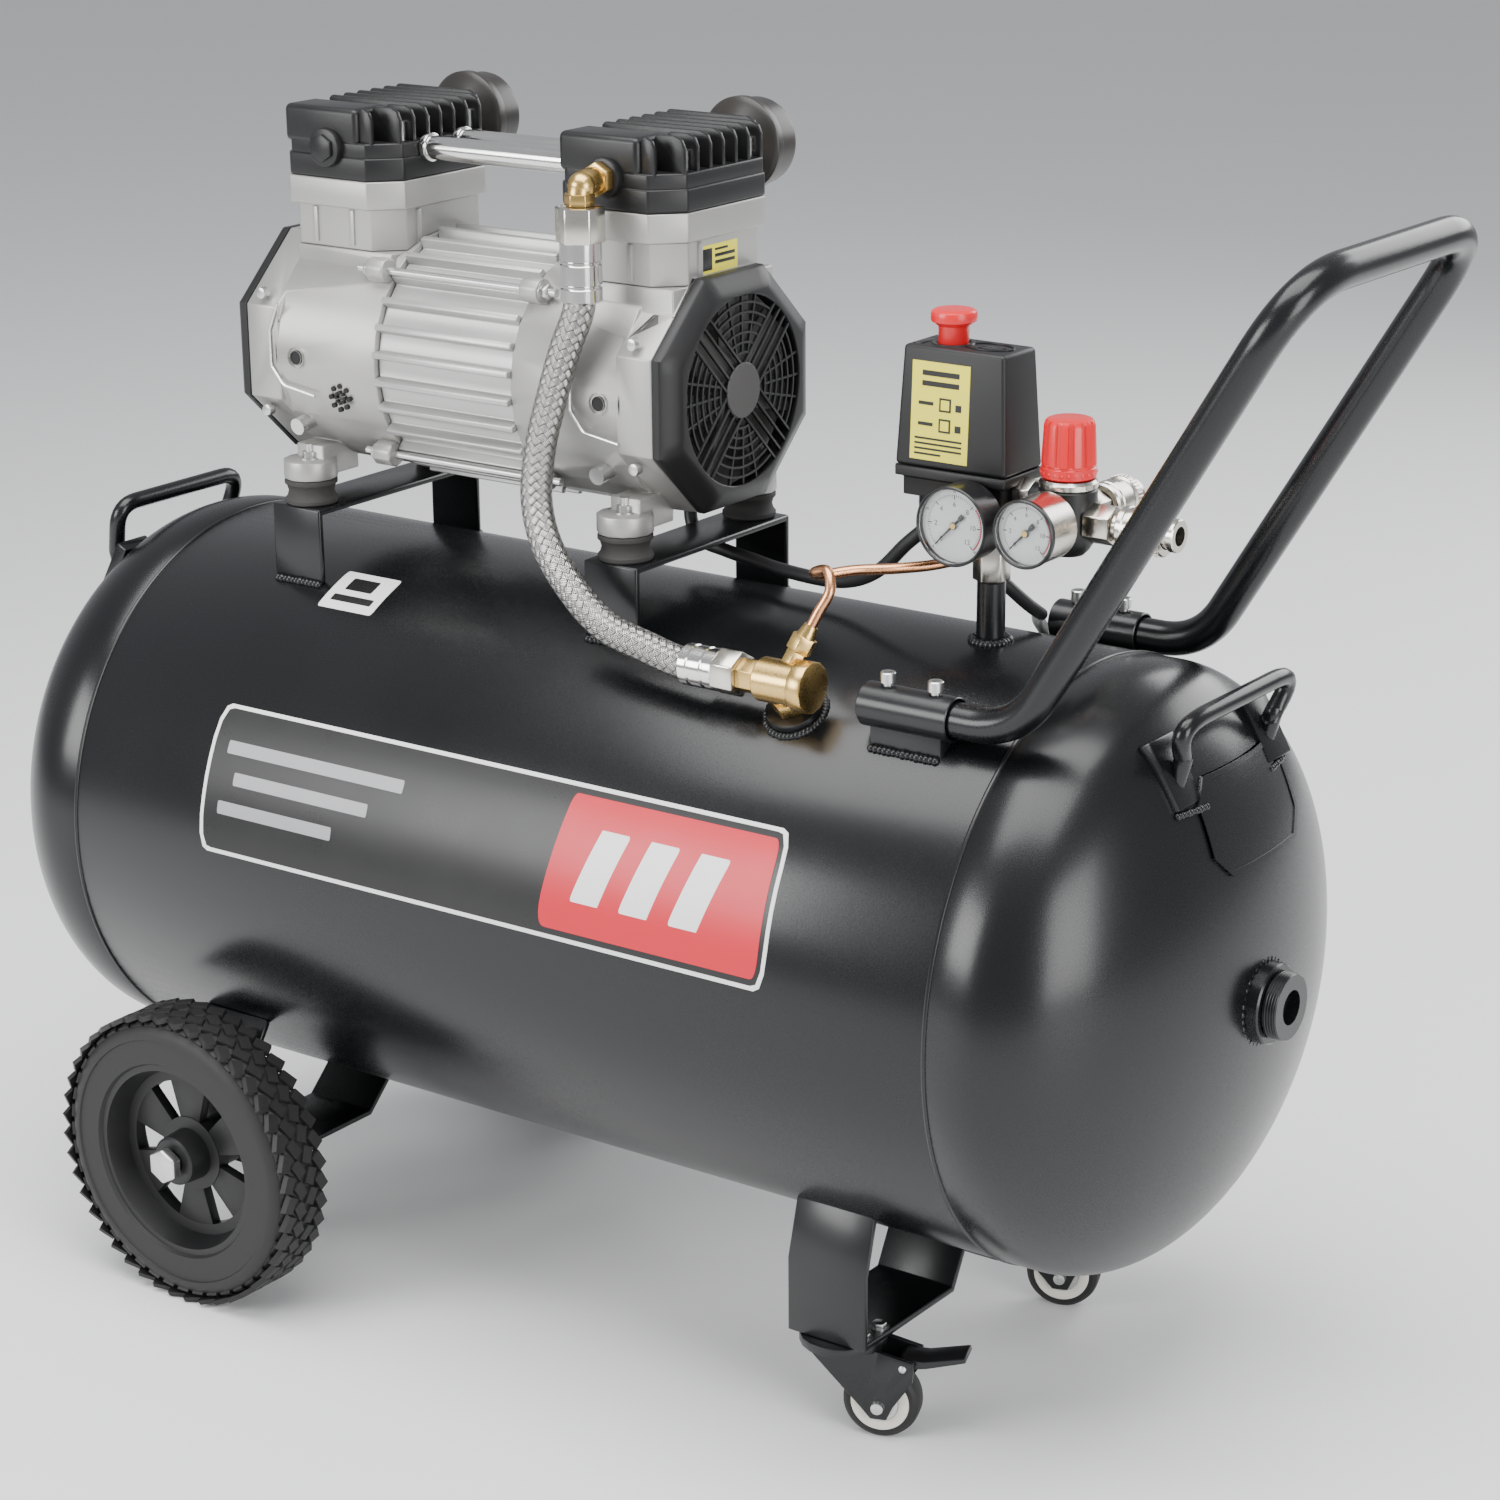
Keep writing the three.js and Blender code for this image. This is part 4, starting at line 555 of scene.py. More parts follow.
def coil_turns(floor_z):
    """The lead's turns: a flat spiral inwards, then one more turn on top that leaves to the left."""
    points = []
    for k in range(1, 76):
        angle = k / 75 * COIL_TURNS * 2 * math.pi
        radius = COIL_RADIUS - LEAD_RADIUS - COIL_PITCH * k / 75 * COIL_TURNS
        points.append((COIL_X + radius * math.cos(angle), COIL_Y + radius * math.sin(angle), floor_z))
    for k in range(1, 31):
        angle = k / 30 * LAYER_SWEEP
        share = min(1, angle / 1.3)
        risen = share * share * (3 - 2 * share)
        radius = COIL_INNER + LAYER_SPREAD * risen
        points.append((COIL_X - radius * math.cos(angle), COIL_Y - radius * math.sin(angle),
                       floor_z + LAYER_RISE * risen))
    outwards = Vector((-math.cos(LAYER_SWEEP), -math.sin(LAYER_SWEEP), 0))
    centre = Vector(points[-1]) + outwards * LEAVE_BEND
    for k in range(1, 7):
        swing = Matrix.Rotation(-LEAVE_TURN * k / 6, 3, "Z") @ -outwards
        points.append(tuple(centre + swing * LEAVE_BEND))
    return points


def lead_route():
    """The lead from the switch's gland, over and down the back of the tank, to its coil on the floor."""
    gx, gy, gz = GLAND
    floor_z = LEAD_RADIUS + 0.5
    drop_x, drop_y = gx - 10, TANK_RADIUS + LEAD_RADIUS + 3
    near = COIL_X + COIL_RADIUS + LEAD_RADIUS + 0.6
    route = [
        (gx, gy, gz - 0.6), (gx, gy, gz - 10), (gx + 1.8, gy + 2.4, gz - 20.5), (gx + 6.5, gy + 8, gz - 33),
        over_tank(gx + 16.5, 30, 24), over_tank(gx + 22.5, 44, 13), over_tank(gx + 22.5, 60, 7.5),
        over_tank(gx + 12, 78, 8), over_tank(gx - 1.5, 98, 8), over_tank(gx - 7, 118, 6.5),
        beside_tank(gx - 8, 46.5, 4), beside_tank(drop_x, 57, 2), beside_tank(drop_x, 68, 1.5),
        beside_tank(drop_x, 79, 1.5), (drop_x, drop_y, TANK_Z - 10), (drop_x, drop_y + 1, 200),
        (drop_x, drop_y + 2.5, 120), (drop_x - 1, drop_y + 5, 70), (drop_x - 3, drop_y + 11, 34),
        (drop_x - 9, drop_y + 25, 12.5), (drop_x - 19, drop_y + 44, floor_z),
        (drop_x - 40, drop_y + 70, floor_z),
        (drop_x - 70, drop_y + 101, floor_z), (drop_x - 105, drop_y + 134, floor_z),
        (near + 77, COIL_Y - 97, floor_z), (near + 43, COIL_Y - 65, floor_z),
        (near + 14, COIL_Y - 36, floor_z),
    ]
    route += coil_turns(floor_z)
    return smooth_line(route, 4)


def line_length(points):
    return sum((b - a).length for a, b in zip(points, points[1:]))


lead_line = lead_route()
lead_curve = bpy.data.curves.new("mains_flex", "CURVE")
lead_curve.dimensions = "3D"
lead_curve.bevel_depth = LEAD_RADIUS / 1000
lead_curve.bevel_resolution = 4
lead_curve.use_fill_caps = True
lead_spline = lead_curve.splines.new("POLY")
lead_spline.points.add(len(lead_line) - 1)
for knot, point in zip(lead_spline.points, lead_line):
    knot.co = (*in_frame(point), 1)
lead_curve.materials.append(cord_look)
mains_flex = bpy.data.objects.new("mains_flex", lead_curve)
bpy.context.scene.collection.objects.link(mains_flex)
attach(mains_flex, "frame")
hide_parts("mains_lead", "lead_coil")


def plug_shape():
    """A plain moulded plug with two pins, beside the coil."""
    bm = bmesh.new()
    start = COIL_X - COIL_RADIUS - 0.3
    body = box(bm, (start - 52, COIL_Y - 21, 0.4), (start - 8, COIL_Y + 21, 26))
    soften(bm, body, 5, 4)
    rod(bm, (start - 0.6, COIL_Y, 13), (start - 9, COIL_Y, 13), 5, 24, 7)
    for side in (-11, 11):
        box(bm, (start - 70, COIL_Y + side - 3, 11.4), (start - 51, COIL_Y + side + 3, 14.6), 0.5)
    return made_piece(bm, "mains_plug_moulded", cord_look, stands_for=("mains_plug",),
                      looks=[(brass_look, lambda p: p.x < start - 52.5)])


mains_plug = plug_shape()

strain = bmesh.new()
for index, (a, b) in enumerate(zip(lead_line[0:13:2], lead_line[2:14:2])):
    rod(strain, a, b, 6.4 - index * 0.32, 20, 6.1 - index * 0.32)
made_piece(strain, "lead_strain_relief", cord_look)

# ---------------------------------------------------------------- floor
floor_mesh = bmesh.new()
bmesh.ops.create_grid(floor_mesh, x_segments=1, y_segments=1, size=14)
floor_data = bpy.data.meshes.new("studio_floor")
floor_mesh.to_mesh(floor_data)
floor_mesh.free()
floor_data.materials.append(finish("pale_floor", (0.86, 0.86, 0.86), (0.88, 0.88, 0.88), 0.6,
                                   patch=2, bump=0.02))
studio_floor = bpy.data.objects.new("studio_floor", floor_data)
bpy.context.scene.collection.objects.link(studio_floor)

# ---------------------------------------------------------------- tank
HEAD_START, HEAD_FLAT, HEAD_DEPTH = 329.3, 20, 95
BRACKET_XS, MOUNT_Y, MOUNT_Z = (-218.5, 35), 64, 511.3
SOCKET_Y, SOCKET_Z = 105, 465.8
BOSS_TILT = math.radians(33.2)
BOSS_UP = Vector((0, -math.sin(BOSS_TILT), math.cos(BOSS_TILT)))


def boss_point(distance):
    return Vector((186, 0, TANK_Z)) + BOSS_UP * distance


def dome_x(y, z):
    """How far out the right tank head stands at this place."""
    reach = math.hypot(y, z - TANK_Z) / TANK_RADIUS
    return HEAD_START + HEAD_FLAT + HEAD_DEPTH * math.sqrt(max(0, 1 - reach ** 2))


def on_barrel(x, degrees, lift):
    """A place on the barrel, `degrees` up from the front middle line."""
    angle = math.radians(degrees)
    radius = TANK_RADIUS + lift
    return Vector((x, -radius * math.cos(angle), TANK_Z + radius * math.sin(angle)))


def barrel_top(y):
    """The height of the barrel's upper side at this distance from its middle."""
    return TANK_Z + math.sqrt(TANK_RADIUS ** 2 - y ** 2)


def weld_ring(bm, centre, radius, lift, size, count, seed):
    """A weld bead round an upright post on top of the barrel."""
    points = []
    for k in range(count):
        angle = k / count * 2 * math.pi
        x, y = centre[0] + radius * math.cos(angle), centre[1] + radius * math.sin(angle)
        points.append((x, y, barrel_top(y) + lift))
    bead(bm, points, size, seed)


bm = bmesh.new()
turned(bm, "x", (0, 0, TANK_Z), [(-329, 181), (-329, 184.6), (-328, 185), (328, 185), (329, 184.6),
                                 (329, 181)], 128)
made_piece(bm, "tank_barrel", powder_coat, stands_for=("tank_shell",))

bm = bmesh.new()
turned(bm, "z", (254.6, 0, 478), [(0, 0), (0, 8.5), (38, 8.5), (39, 7.6), (39, 0)], 32)
weld_ring(bm, (254.6, 0), 10.5, 0.4, 3.2, 22, 1)
for side in (-1, 1):
    turned(bm, "x", (238, side * SOCKET_Y, SOCKET_Z),
           [(8, 0), (8, 11.3), (58.8, 11.3), (60, 11.9), (60, 12.5), (59.5, 13), (0.8, 13), (0, 12.2),
            (0, 0)], 40)
    low_z = barrel_top(SOCKET_Y)
    box(bm, (244, side * SOCKET_Y - 7, low_z - 8), (292, side * SOCKET_Y + 7, SOCKET_Z - 6), 1.5)
    for edge in (-8, 8):
        line = [(246 + k * 3.1, side * SOCKET_Y + edge, barrel_top(side * SOCKET_Y + edge) + 0.6)
                for k in range(15)]
        bead(bm, line, 2.6, 3)
rod(bm, boss_point(181), boss_point(191), 17, 40, round_off=0.8)
ring = []
for k in range(44):
    angle = k / 44 * 2 * math.pi
    x, across = 186 + 18 * math.cos(angle), 18 * math.sin(angle)
    sideways = Vector((0, math.cos(BOSS_TILT), math.sin(BOSS_TILT)))
    spot = boss_point(0) + sideways * across
    ring.append((x, spot.y + BOSS_UP.y * math.sqrt(TANK_RADIUS ** 2 - across ** 2),
                 spot.z + BOSS_UP.z * math.sqrt(TANK_RADIUS ** 2 - across ** 2)))
bead(bm, ring, 2.7, 5)
turned(bm, "z", (0, 0, 104), [(0, 5.6), (0, 11), (1, 12), (8, 12)], 32)
for x in BRACKET_XS:
    for side in (-1, 1):
        line = []
        for k in range(12):
            line.append((x - 17 + k * 3.1, side * 80.8, barrel_top(80.8) + 0.4))
        bead(bm, line, 2.8, 8)
made_piece(bm, "tank_fittings", bent_steel_paint)

for x in (-329.15, 329.15):
    bm = bmesh.new()
    turned(bm, "x", (x, 0, TANK_Z), [(-1.7, 184.4), (-1.0, 185.5), (0, 185.9), (1.0, 185.5), (1.7, 184.4)],
           128)
    made_piece(bm, "seam_bead_left" if x < 0 else "seam_bead_right", bent_steel_paint)


def lift_bar(bm, reach, rise, half_span, centre_y):
    """A bent round bar with two pads welded to a tank head."""
    pad_x, pad_z = HEAD_START + 75, TANK_Z + 147
    weld, knee = (pad_x + 1, -53, pad_z - 12), (pad_x + 6, -53, pad_z + 6)
    corner = (HEAD_START + reach, -half_span, TANK_Z + rise)
    other = [(x, -y, z) for x, y, z in (corner, knee, weld)]
    line = rounded_line([weld, knee, corner, *other], [5, 15, 15, 5], 8)
    tube(bm, [(p[0], p[1] + centre_y, p[2]) for p in line], 5.5, 6)
    for side in (-1, 1):
        turn = Matrix.Rotation(-0.52, 4, "Y")
        centre = Vector((pad_x - 2, side * 53 + centre_y, pad_z - 4))
        box(bm, centre - Vector((4.5, 13.5, 21)), centre + Vector((4.5, 13.5, 21)), 1.2, turn)
        line = []
        for k in range(9):
            y, z = side * 53 + centre_y - 12 + k * 3, pad_z - 24
            line.append((dome_x(y, z) + 0.8, y, z))
        bead(bm, line, 2.4, 9)


def dish(bm):
    """A dished tank head whose flange starts where the barrel ends."""
    profile = [(0, 181), (0, 184.4), (1, 185)]
    for k in range(31):
        angle = k / 30 * math.pi / 2
        profile.append((HEAD_FLAT + HEAD_DEPTH * math.sin(angle), TANK_RADIUS * math.cos(angle)))
    profile[-1] = (HEAD_FLAT + HEAD_DEPTH, 0)
    turned(bm, "x", (HEAD_START, 0, TANK_Z), profile, 128)


bm = bmesh.new()
dish(bm)
lift_bar(bm, 71, 187, 59, 0)
mirrored(bm, "x")
made_piece(bm, "tank_end_left", powder_coat, stands_for=("tank_head_left",), smooth=40)

bm = bmesh.new()
dish(bm)
lift_bar(bm, 86, 176, 77, 7)
turned(bm, "x", (430, 0, TANK_Z), [(0, 25), (20.3, 24), (21.3, 23), (21.3, 17)], 56)
bead(bm, [(441.8, 25.4 * math.cos(k / 34 * 2 * math.pi), TANK_Z + 25.4 * math.sin(k / 34 * 2 * math.pi))
          for k in range(34)], 2.2, 11)
made_piece(bm, "tank_end_right", powder_coat, stands_for=("tank_head_right",), smooth=40)

bm = bmesh.new()
turned(bm, "x", (451.6, 0, TANK_Z), [(-4, 16.7), (0, 16.7), (0, 19.6), (0.6, 20), (8.2, 20), (9, 19.4),
                                     (9, 10.4),
                                     (1, 10.4), (1, 0)], 48)
for k in range(4):
    turned(bm, "x", (453 + k * 1.7, 0, TANK_Z), [(0, 19.8), (0.6, 20.25), (1.2, 19.8)], 48)
made_piece(bm, "inspection_plug_turned", bent_steel_paint, stands_for=("inspection_plug",))


def wrapped_plate(name, look, outline, place, thickness):
    """A thin plate cut to `outline`, laid on a curved surface by `place(u, v, lift)`."""
    bm = bmesh.new()
    face = bm.faces.new([bm.verts.new((u, v, 0)) for u, v in outline])
    low = [min(p[i] for p in outline) for i in (0, 1)]
    high = [max(p[i] for p in outline) for i in (0, 1)]
    for i, cuts in ((0, 24), (1, 10)):
        for k in range(1, cuts):
            at = Vector((0, 0, 0))
            at[i] = low[i] + (high[i] - low[i]) * k / cuts
            normal = Vector((1 - i, i, 0))
            bmesh.ops.bisect_plane(bm, geom=bm.verts[:] + bm.edges[:] + bm.faces[:], plane_co=at,
                                   plane_no=normal)
    made = bmesh.ops.extrude_face_region(bm, geom=bm.faces[:])
    bmesh.ops.translate(bm, verts=[g for g in made["geom"] if isinstance(g, bmesh.types.BMVert)],
                        vec=(0, 0, 1))
    for vert in bm.verts:
        vert.co = place(vert.co.x, vert.co.y, thickness * vert.co.z)
    return made_piece(bm, name, look, smooth=40)


def rounded_outline(u0, v0, u1, v1, radius, cut_left=0.0, cut_right=0.0, steps=6):
    """A rounded rectangle whose left or right side may lean."""
    corners = [(u0, v0), (u1 - cut_right, v0), (u1, v1), (u0 + cut_left, v1)]
    points = [(u, v, 0) for u, v in corners]
    looped = [points[-1]] + points + [points[0]]
    line = []
    for last, corner, after in zip(looped, looped[1:], looped[2:]):
        line += rounded_line([last, corner, after], [radius], steps)[1:-1]
    return [(p.x, p.y) for p in line]


def ring_plate(name, look, outer, inner, place, thickness):
    """The strip between two outlines of as many points, laid on a curved surface."""
    bm = bmesh.new()

    def spread(points, count=240):
        line = [Vector((u, v, 0)) for u, v in points]
        line.append(line[0])
        total = line_length(line)
        made, walked, k = [], 0.0, 0
        for index in range(count):
            want = total * index / count
            while walked + (line[k + 1] - line[k]).length < want:
                walked += (line[k + 1] - line[k]).length
                k += 1
            made.append(line[k].lerp(line[k + 1],
                                     (want - walked) / max(1e-9, (line[k + 1] - line[k]).length)))
        return made

    big, small = spread(outer), spread(inner)
    skin(bm, [[place(p.x, p.y, 0) for p in big], [place(p.x, p.y, thickness) for p in big],
              [place(p.x, p.y, thickness) for p in small], [place(p.x, p.y, 0) for p in small]])
    return made_piece(bm, name, look, smooth=40)


# A generic band on the front of the tank: a white line round a black and a red field.
wrapped_plate("band_black_field", print_black, rounded_outline(-217, 5.2, 219, 33.6, 5.5), on_barrel, 0.15)
ring_plate("band_white_line", print_white, rounded_outline(-219, 4.6, 221, 34.2, 7),
           rounded_outline(-216.4, 5.4, 218.4, 33.4, 6), on_barrel, 0.35)
wrapped_plate("band_red_field", print_red, rounded_outline(54, 6.6, 215, 32.2, 4.5, cut_left=12), on_barrel,
              0.3)
for index, (start, end) in enumerate([(-205, -60), (-195, -84), (-205, -110)]):
    low = 24.5 - index * 6
    wrapped_plate(f"band_grey_stripe_{index}", print_grey, rounded_outline(start, low, end, low + 2.6, 0.9),
                  on_barrel, 0.3)
for index, u in enumerate((78, 114, 150)):
    wrapped_plate(f"band_white_bar_{index}", print_white, rounded_outline(u, 12.5, u + 36, 26.5, 0.8, 15, 15),
                  on_barrel, 0.42)


wrapped_plate("small_sticker", print_white, rounded_outline(-190, 59, -145, 70, 1.6), on_barrel, 0.2)
wrapped_plate("small_sticker_bar", print_black, rounded_outline(-184, 61.2, -151, 63, 0.4), on_barrel, 0.3)
wrapped_plate("small_sticker_block", print_black, rounded_outline(-180, 64.6, -158, 68.2, 0.8), on_barrel,
              0.3)


def on_dome(u, v, lift):
    return Vector((dome_x(u, v) + lift, u, v))


plate_outline = [(-28, 378), (54, 378), (67, 391), (67, 420), (54, 433), (-28, 433), (-41, 420), (-41, 391)]
wrapped_plate("head_plate", powder_coat, plate_outline, on_dome, 1.3)
inset = [(13 + (u - 13) * 0.93, 405.5 + (v - 405.5) * 0.9) for u, v in plate_outline]
ring_plate("head_plate_rim", powder_coat, plate_outline, inset, on_dome, 2.0)

# ---------------------------------------------------------------- push handle
bm = bmesh.new()
handle = [(252, -105, SOCKET_Z), (338, -105, SOCKET_Z), (499.1, -105, 731.8),
          (499.1, 105, 731.8), (338, 105, SOCKET_Z), (252, 105, SOCKET_Z)]
tube(bm, rounded_line(handle, [50, 46, 46, 50], 20), 10.5, 12)
made_piece(bm, "push_handle_tube", powder_coat, stands_for=("push_handle",))


def cap_bolt(bm, start, up, radius, height):
    """A socket-head bolt: a plain round head with a round socket recess."""
    up = Vector(up).normalized()
    start = Vector(start)
    turn = up.to_track_quat("Z", "Y").to_matrix().to_4x4()
    place = Matrix.Translation(start) @ turn
    before = set(bm.verts)
    turned(bm, "z", (0, 0, 0), [(0, 0), (0, radius), (height - 0.6, radius), (height, radius - 0.6),
                                (height, radius * 0.55), (height * 0.5, radius * 0.55),
                                (height * 0.5, 0)], 24)
    bmesh.ops.transform(bm, matrix=place, verts=[v for v in bm.verts if v not in before])


def hex_bolt(bm, start, up, radius, height):
    """A hexagon head on its washer."""
    up, start = Vector(up).normalized(), Vector(start)
    rod(bm, start, start + up * height, radius, 6, round_off=0.5)
    rod(bm, start - up * 0.8, start + up * 0.4, radius * 1.35, 28)


bm = bmesh.new()
for x in (252, 284):
    for side in (-1, 1):
        rod(bm, (x, side * SOCKET_Y, 476), (x, side * SOCKET_Y, 481), 3, 16)
        cap_bolt(bm, (x, side * SOCKET_Y, 480.5), (0, 0, 1), 4.6, 6)
made_piece(bm, "socket_bolts", zinc_look)

# ---------------------------------------------------------------- brackets and buffers
for side in ("left", "right"):
    refined(f"motor_bracket_{side}", bent_steel_paint, 1.4)
for end in ("front", "rear"):
    sign = -1 if end == "front" else 1
    refined(f"wheel_bracket_{end}", bent_steel_paint, 1.0, sharper_than=36,
            looks=[(zinc_look, lambda p, s=sign: p.y * s > 214)])
    refined(f"caster_bracket_{end}", bent_steel_paint, 1.0)

for side, x in zip(("left", "right"), BRACKET_XS):
    for end, y in (("front", -MOUNT_Y), ("rear", MOUNT_Y)):
        bm = bmesh.new()
        turned(bm, "z", (x, y, MOUNT_Z), [(0, 0), (0, 16.2), (1, 17), (3, 17), (4.5, 15.6), (8, 14.6),
                                          (11.5, 15.6),
                                        (13, 17), (15, 17), (16, 16.2), (16, 0)], 48)
        made_piece(bm, f"rubber_buffer_{side}_{end}", buffer_rubber,
                   stands_for=(f"rubber_mount_{side}_{end}",))
bm = bmesh.new()
for x in BRACKET_XS:
    for y in (-MOUNT_Y, MOUNT_Y):
        hex_bolt(bm, (x, y, 540), (0, 0, 1), 5.2, 4.5)
        rod(bm, (x, y, 543), (x, y, 549), 2.8, 16)
made_piece(bm, "foot_bolts", zinc_look)

# ---------------------------------------------------------------- pump bodies
PUMP_X, PUMP_Z = -96, 607.6
CRANK_HOLE_Z, CRANK_SIDE_Y = 607, 76.1
VENT_X, VENT_Z = -181, 585
CYLINDERS = {"left": -193.5, "right": 24.5}

for side in ("left", "right"):
    refined(f"crankcase_{side}", die_casting, 1.0, sharper_than=34)
    refined(f"cylinder_{side}", die_casting, 1.1)
refined("stator_housing", ribbed_casting, 0.8, sharper_than=30)

bm = bmesh.new()
for side, x in (("left", -215), ("right", 26)):
    for y in (-1, 1):
        turned(bm, "y", (x, y * 75.6, CRANK_HOLE_Z),
               [(-1.6, 4.4), (1.2, 4.4), (1.6, 5.2), (1.2, 6.4), (-1.6, 6.6)], 32)
        rod(bm, (x - 6, y * 60, 563), (x - 6, y * 72, 561), 5.4, 24)
    out = -1 if side == "left" else 1
    for y in (-1, 1):
        for z in (570, 645):
            rod(bm, (PUMP_X + out * 147, y * 71, z), (PUMP_X + out * 147, y * 76.4, z), 3.6, 20,
                round_off=0.4)
for angle in (45, 135, 225, 315):
    y, z = 82 * math.cos(math.radians(angle)), PUMP_Z + 82 * math.sin(math.radians(angle))
    rod(bm, (PUMP_X - 78, y, z), (PUMP_X + 78, y, z), 2.6, 16)
    for out in (-1, 1):
        hex_bolt(bm, (PUMP_X + out * 68.5, y, z), (out, 0, 0), 5, 4)
made_piece(bm, "pump_screws_and_rods", zinc_look)

# Painted shade: dark discs inside the crank side holes and the vent rosette holes.
bm = bmesh.new()
for x in (-215, 26):
    for y in (-1, 1):
        rod(bm, (x, y * 74.4, CRANK_HOLE_Z), (x, y * 76.3, CRANK_HOLE_Z), 4.5, 24)
for k in range(8):
    angle = k / 8 * 2 * math.pi
    for radius, size in ((3.4, 1.2), (7.4, 1.7)):
        x, z = VENT_X + radius * math.cos(angle), VENT_Z + radius * math.sin(angle)
        rod(bm, (x, -75.2, z), (x, -72.9, z), size, 10)
made_piece(bm, "pump_painted_hole_shade", painted_hole_shade)

bm = bmesh.new()
for name, x in CYLINDERS.items():
    for sign in (-1, 1):
        box(bm, (x - 24, sign * 51 - 1.2, 677), (x - 20, sign * 51 + 1.2, 699), 0.6)
        box(bm, (x + 6, sign * 51 - 1.2, 677), (x + 10, sign * 51 + 1.2, 699), 0.6)
    box(bm, (x - 42.4, -30, 677), (x - 37, -26, 699), 0.6)
    box(bm, (x + 37, -26, 677), (x + 40.2, -22, 699), 0.6)
made_piece(bm, "cylinder_ribs", die_casting)

for x in (-215, 26):
    bm = bmesh.new()
    corners = ((-14, 640), (-22, 622), (-22, 600), (-12, 588), (14, 584))
    line = [(x + u, -CRANK_SIDE_Y, z) for u, z in corners]
    tube(bm, rounded_line(line, [6, 6, 6], 5), 0.9, 3)
    made_piece(bm, f"casting_edge_{'left' if x < 0 else 'right'}", machined_edge)

bm = bmesh.new()
box(bm, (62.8, -26, 679), (63.7, 14, 696), 0.2)
made_piece(bm, "cylinder_label", print_yellow)
bm = bmesh.new()
for y0, y1, z0, z1 in ((-23, -12, 681, 694), (-9, 11, 684, 686), (-9, 11, 688, 690), (-9, 4, 692, 693.4)):
    box(bm, (63.6, y0, z0), (63.9, y1, z1), 0.05)
made_piece(bm, "cylinder_label_marks", print_black)


# ---------------------------------------------------------------- cylinder heads
def block_outline(half_x, half_y, chamfer, small):
    """A block with wide corners on one side and small ones on the other."""
    return [(half_x, half_y - chamfer), (half_x - chamfer, half_y), (-half_x + small, half_y),
            (-half_x, half_y - small), (-half_x, -half_y + small), (-half_x + small, -half_y),
            (half_x - chamfer, -half_y), (half_x, -half_y + chamfer)]


HEAD_Z, SLAB_Z, FIN_Z = 718.5, 741.5, 762.5


def cylinder_head(side, x):
    """A cast head: a stepped slab, nine fins and a plain chamber at one corner."""
    bm = bmesh.new()
    outline = [(x + u, v) for u, v in block_outline(42, 56, 17, 5)]
    prism(bm, "z", outline, HEAD_Z, SLAB_Z - 9, 1.4, 3)
    prism(bm, "z", [(x + u, v) for u, v in block_outline(41, 55, 16.5, 5)], SLAB_Z - 10, SLAB_Z, 1.4, 3)
    for k in range(9):
        y = (k / 4 - 1) * 51
        inset = max(0, abs(y) - 39)
        end = x + 40 - inset
        start = x + 18.2 if y < -24 else x - 40
        profile = [(start, SLAB_Z - 2), (end, SLAB_Z - 2), (end, FIN_Z - 7), (end - 2.2, FIN_Z - 2.2),
                   (end - 7, FIN_Z), (start + 2, FIN_Z), (start, FIN_Z - 2)]
        prism(bm, "y", profile, y - 1.5, y + 1.5, 0.6)
    chamber = box(bm, (x - 41.5, -55.5, SLAB_Z - 3), (x + 18, -26, FIN_Z - 0.5))
    soften(bm, chamber, 4, 4)
    for u in (-30, 6):
        box(bm, (x + u, -25, SLAB_Z - 2), (x + u + 5, 50, SLAB_Z + 8), 1)
    rod(bm, (x - 5.5, -50, 737.5), (x - 5.5, -60, 737.5), 12, 40, round_off=1.2)
    if side == "left":
        rod(bm, (x - 5.5, -59.5, 737.5), (x - 5.5, -62.4, 737.5), 8.6, 6, round_off=0.5)
    made_piece(bm, f"cylinder_head_{side}_cast", head_casting, stands_for=(f"cylinder_head_{side}",))


for side, x in CYLINDERS.items():
    cylinder_head(side, x)

bm = bmesh.new()
for x in CYLINDERS.values():
    for u, v in ((-32, 46), (32, -32), (32, 34), (0, 44), (28, 0)):
        cap_bolt(bm, (x + u, v * 0.98, SLAB_Z), (0, 0, 1), 4.2, 12)
made_piece(bm, "head_bolts", zinc_look)

bm = bmesh.new()
for y in (-15, 17):
    start, end = CYLINDERS["left"] + 40, CYLINDERS["right"] - 42.3
    rod(bm, (start, y, 736.5), (end, y, 736.5), 7.5, 40)
    for x in (CYLINDERS["left"] + 41.5, CYLINDERS["right"] - 46):
        rod(bm, (x, y, 736.5), (x + 4, y, 736.5), 9, 32, round_off=0.6)
made_piece(bm, "link_tubes", chrome_tube)

for side, x in CYLINDERS.items():
    bm = bmesh.new()
    turned(bm, "y", (x, 56.3, SLAB_Z), [
        (0, 0), (0, 16), (7, 16), (8, 17.5), (14, 26), (15, 28.3), (16, 29), (21, 29), (22.4, 28.2),
        (22.8, 26.6),
        (24, 26.4), (35, 26.8), (38, 26), (39.4, 24), (40, 21.5), (39, 18), (38.2, 12), (38.4, 0)], 72)
    made_piece(bm, f"intake_filter_{side}_moulded", filter_black, stands_for=(f"intake_filter_{side}",))


# ---------------------------------------------------------------- fans and their covers
def octagon_loop(x, half, count=64):
    """An octagon with as many points as its neighbouring circle."""
    points = []
    for k in range(count):
        angle = 2 * math.pi * k / count
        reach = half / math.cos(((angle + math.pi / 8) % (math.pi / 4)) - math.pi / 8)
        points.append((x, reach * math.cos(angle), PUMP_Z + reach * math.sin(angle) * 71 / 75))
    return points


def circle_loop(x, radius, count=64):
    turns = [2 * math.pi * k / count for k in range(count)]
    return [(x, radius * math.cos(a), PUMP_Z + radius * math.sin(a)) for a in turns]


